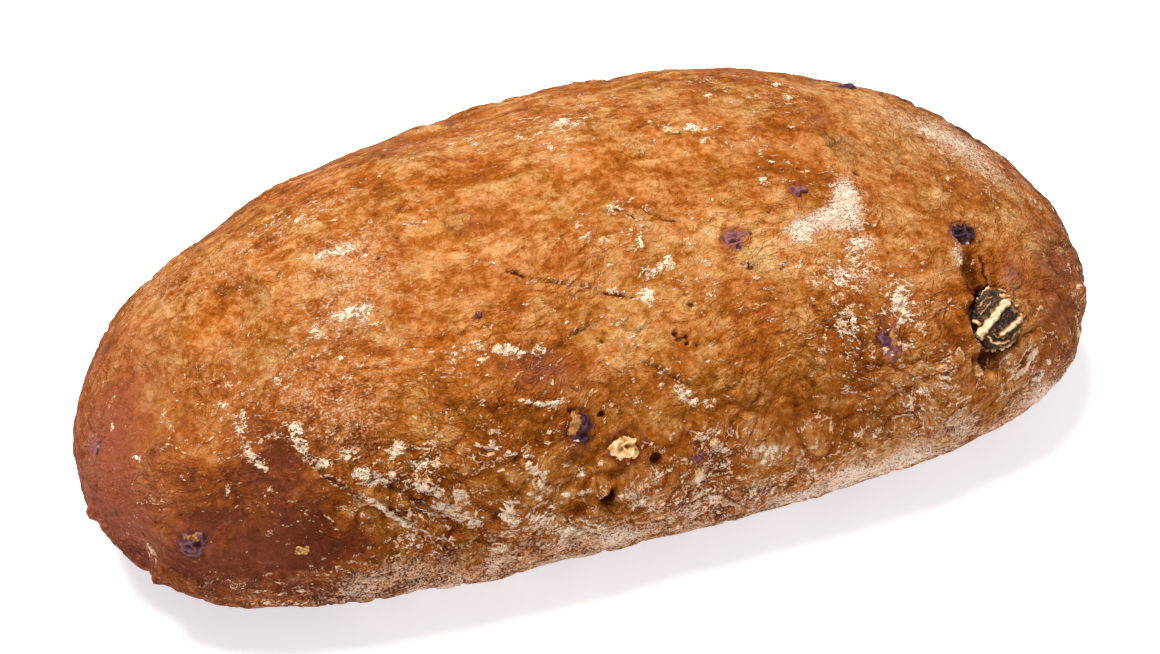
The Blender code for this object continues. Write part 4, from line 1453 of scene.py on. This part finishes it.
def makeFruit(node, seed, kind):
    form = fruitForms[kind]
    mesh, points, normals, middle = roundedFruit(node, form)
    shift, around = (seed * 3.1, seed * 1.7, seed * 2.3), points - middle
    fold = ridgesAt(around, form["fold"][0], shift)
    lift = form["waver"][1] * noiseAt(around, form["waver"][0], shift)
    lift += form["fold"][1] * (fold - 0.7) + form["fine"][1] * ridgesAt(around, form["fine"][0], shift)
    pixels, (facing, _) = toPixels(points), facingOf(points, normals)
    if kind == "raisin":
        marks = fruitMarks.get(node, hiddenMarks)
        film = clipped(spotSum(marks["film"], pixels, facing))
        if node not in fruitMarks:
            film = smoothStep(noiseAt(around, hiddenFilm["size"], shift), *hiddenFilm["edge"])
        lift += form["film"] * film
        pale, blush = clipped(spotSum(marks["pale"], pixels, facing)), np.full(len(points), marks["blush"])
        storeValues(mesh, {"ridge": clipped(fold), "film": film, "pale": pale, "blush": blush})
    else:
        rise = 1
        if node in nutLumps:
            # rise is 1 on the lumps and lower between them, where it paints shade into the kernel colour
            rise = 1 - facing * (1 - clipped(spotSum(nutLumps[node], pixels, 1)))
            lift += form["lumps"] * (rise - 0.75)
        groove, lump, crest = form["shades"]
        storeValues(mesh, {"kernel": clipped(groove + lump * rise + crest * fold)})
    setPoints(mesh, points + normals * lift[:, None])
    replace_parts(finishFruit(node + form["ending"], mesh, kind), node)


# The walnut's pale bars: width in pixels, paleness and path in pixels

walnutBars = [
    (11, 1.0, [(1006, 303), (1000, 310), (994, 317), (987, 326), (979, 335)]),
    (6, 0.9, [(1022, 316), (1015, 323), (1009, 329), (1001, 334)]),
    (3, 0.56, [(979, 306), (985, 300), (992, 296)]),
    (4, 0.66, [(1000, 295), (1008, 296), (1016, 300), (1020, 306)]),
    (3, 0.55, [(991, 302), (986, 308), (981, 314)]),
    (6, 0.85, [(974, 321), (978, 323)]),
    (3, 0.50, [(1011, 306), (1015, 311), (1019, 313)]),
    (4, 0.72, [(972, 349), (978, 342), (984, 336)]),
    (4, 0.72, [(988, 338), (995, 342), (1002, 343), (1008, 340)]),
    (3, 0.52, [(1012, 338), (1017, 332)]),
    (3, 0.50, [(993, 333), (998, 337), (1003, 338)]),
    (3, 0.56, [(982, 349), (988, 351), (995, 350)]),
]
walnutForm = {
    "rounding": 3, "growth": 1.04, "aside": 2.8,       # steps, share, and mm to the photo's right
    "bar": 0.9, "groove": 0.5, "fine": 0.35,           # mm up, down, and of the fine veins
    "ridges": (3.84, 0.62, 0.9),                       # at the back: mm across, and where they rise
    "veins": (1.2, 0.62, 0.92),                        # likewise
    "wander": (2.4, 1.6),                              # pixels the bars stray, and over how many mm
    "core": 1.15,                                      # how full the bars' middles are
    "shades": (0.06, 0.74, 0.26, 0.06),                # in grooves, added on bars, on veins, and uneven
}


def makeWalnut(node):
    form = walnutForm
    mesh, points, normals, middle = roundedFruit(node, form)
    points = points + np.array(rightward) * form["aside"]
    pixels, (facing, _) = toPixels(points), facingOf(points, normals)
    stray, size = form["wander"]
    wander = np.stack([noiseAt(points, size, (1, 0, 0)), noiseAt(points, size, (0, 5, 0))], 1)
    bar = np.zeros(len(points))
    for width, pale, line in walnutBars:
        dense = np.array(curveThrough(line))
        distance = np.linalg.norm((pixels + stray * wander)[:, None, :] - dense[None], axis=2).min(1)
        bar = np.maximum(bar, clipped(form["core"] - distance / (width / 2)) * pale)
    size, low, high = form["ridges"]
    ridges = smoothStep(ridgesAt(points - middle, size, (4, 4, 1)), low, high)
    bar = smoothStep(bar * facing + ridges * (1 - facing), 0, 0.9)
    size, low, high = form["veins"]
    fine = ridgesAt(points - middle, size, (7, 1, 3))
    vein = smoothStep(fine, low, high)
    setPoints(mesh, points + normals * (form["bar"] * bar - form["groove"] + form["fine"] * vein)[:, None])
    groove, onBars, onVeins, waver = form["shades"]
    storeValues(mesh, {"kernel": clipped(np.maximum(groove + onBars * bar, onVeins * vein) + waver * fine)})
    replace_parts(finishFruit(node + ".kernel", mesh, "nut"), node)


for seed, node in enumerate(fruitNodes):
    if node == "walnut":
        makeWalnut(node)
    else:
        makeFruit(node, seed, "raisin" if node.startswith("raisin") else "nut")
print("raisins and nuts ready")


# Bits of nut and raisin too small for the CAD: pixel, size across, down and through in mm, and shade

crustBits = {
    "nut": [
        ((303, 550), (4.4, 3.0, 2.4), -0.16), ((1076, 331), (3.6, 3.6, 2.6)), ((671, 131), (4.4, 2.8, 2.4)),
        ((603, 240), (3.8, 2.2, 2.0)), ((714, 443), (2.4, 2.0, 1.8)), ((699, 471), (2.0, 3.0, 1.8)),
        ((635, 455), (2.6, 2.0, 1.6)), ((1008, 362), (1.6, 2.0, 1.4)),
    ],
    "raisin": [
        ((479, 315), (2.2, 1.8, 1.2)), ((698, 457), (3.8, 2.8, 2.0)), ((98, 448), (3.4, 4.4, 1.6)),
        ((703, 482), (1.8, 1.2, 1.0)),
    ],
}
hiddenBits = dict(count=8, along=(-120, 120), roll=(-98, -60), size=(1.8, 4.4))
# share of its height that a bit is sunk, and how close and high its wavering and folds are
bitForm = dict(subdivisions=3, sunk=0.12, waver=(1.4, 0.64), fold=(2.6, 0.16))
bitShades = dict(kernel=(0.34, 0.43), film=0.56, blush=0.9)      # in the grooves, and what crests add


def bitPlaces(kind, chance):
    places = []
    for pixel, size, *shade in crustBits[kind]:
        point, normal = seenAt(crustTree, pixel)
        if point is not None:
            places.append((point, normal, size, sum(shade)))
    for _ in range(hiddenBits["count"]):
        point, normal = inPlan(chance.uniform(*hiddenBits["along"]), chance.uniform(*hiddenBits["roll"]))
        size = chance.uniform(*hiddenBits["size"])
        size = (size, size * chance.uniform(0.6, 0.9), size * 0.6)
        if unseen(point, normal):
            places.append((point, normal, size, 0))
    return places


def makeBits(kind, seed):
    bm = bmesh.new()
    folds, shades = [], []
    (waverPace, waver), (foldPace, foldHeight) = bitForm["waver"], bitForm["fold"]
    for index, (point, normal, size, shade) in enumerate(bitPlaces(kind, random.Random(seed))):
        across = (rightward - normal * rightward.dot(normal)).normalized()
        turn = Matrix((across, normal.cross(across), normal)).transposed()
        made = bmesh.ops.create_icosphere(bm, subdivisions=bitForm["subdivisions"], radius=1)["verts"]
        shift = Vector((index * 2.7, seed * 5.1, index * 1.3))
        for vertex in made:
            way = vertex.co.normalized()
            fold = 1 - 2 * abs(noise.noise(way * foldPace + shift))
            reach = 1 + waver * noise.noise(way * waverPace + shift) + foldHeight * (fold - 0.6)
            local = Vector([w * reach * s / 2 for w, s in zip(way, size)])
            vertex.co = (point - normal * size[2] * bitForm["sunk"] + turn @ local) * mm
            folds.append(fold)
            shades.append(shade)
    mesh = meshFrom(bm, kind + "Bits")
    folds = clipped(np.array(folds))
    if kind == "nut":
        groove, crest = bitShades["kernel"]
        storeValues(mesh, {"kernel": groove + crest * folds + np.array(shades)})
    else:
        zero, blush = np.zeros(len(folds)), np.full(len(folds), bitShades["blush"])
        storeValues(mesh, {"ridge": folds, "film": bitShades["film"] * folds, "pale": zero, "blush": blush})
    finishFruit(kind + "Bits", mesh, kind)


makeBits("nut", 21)
makeBits("raisin", 22)
print("small bits ready")
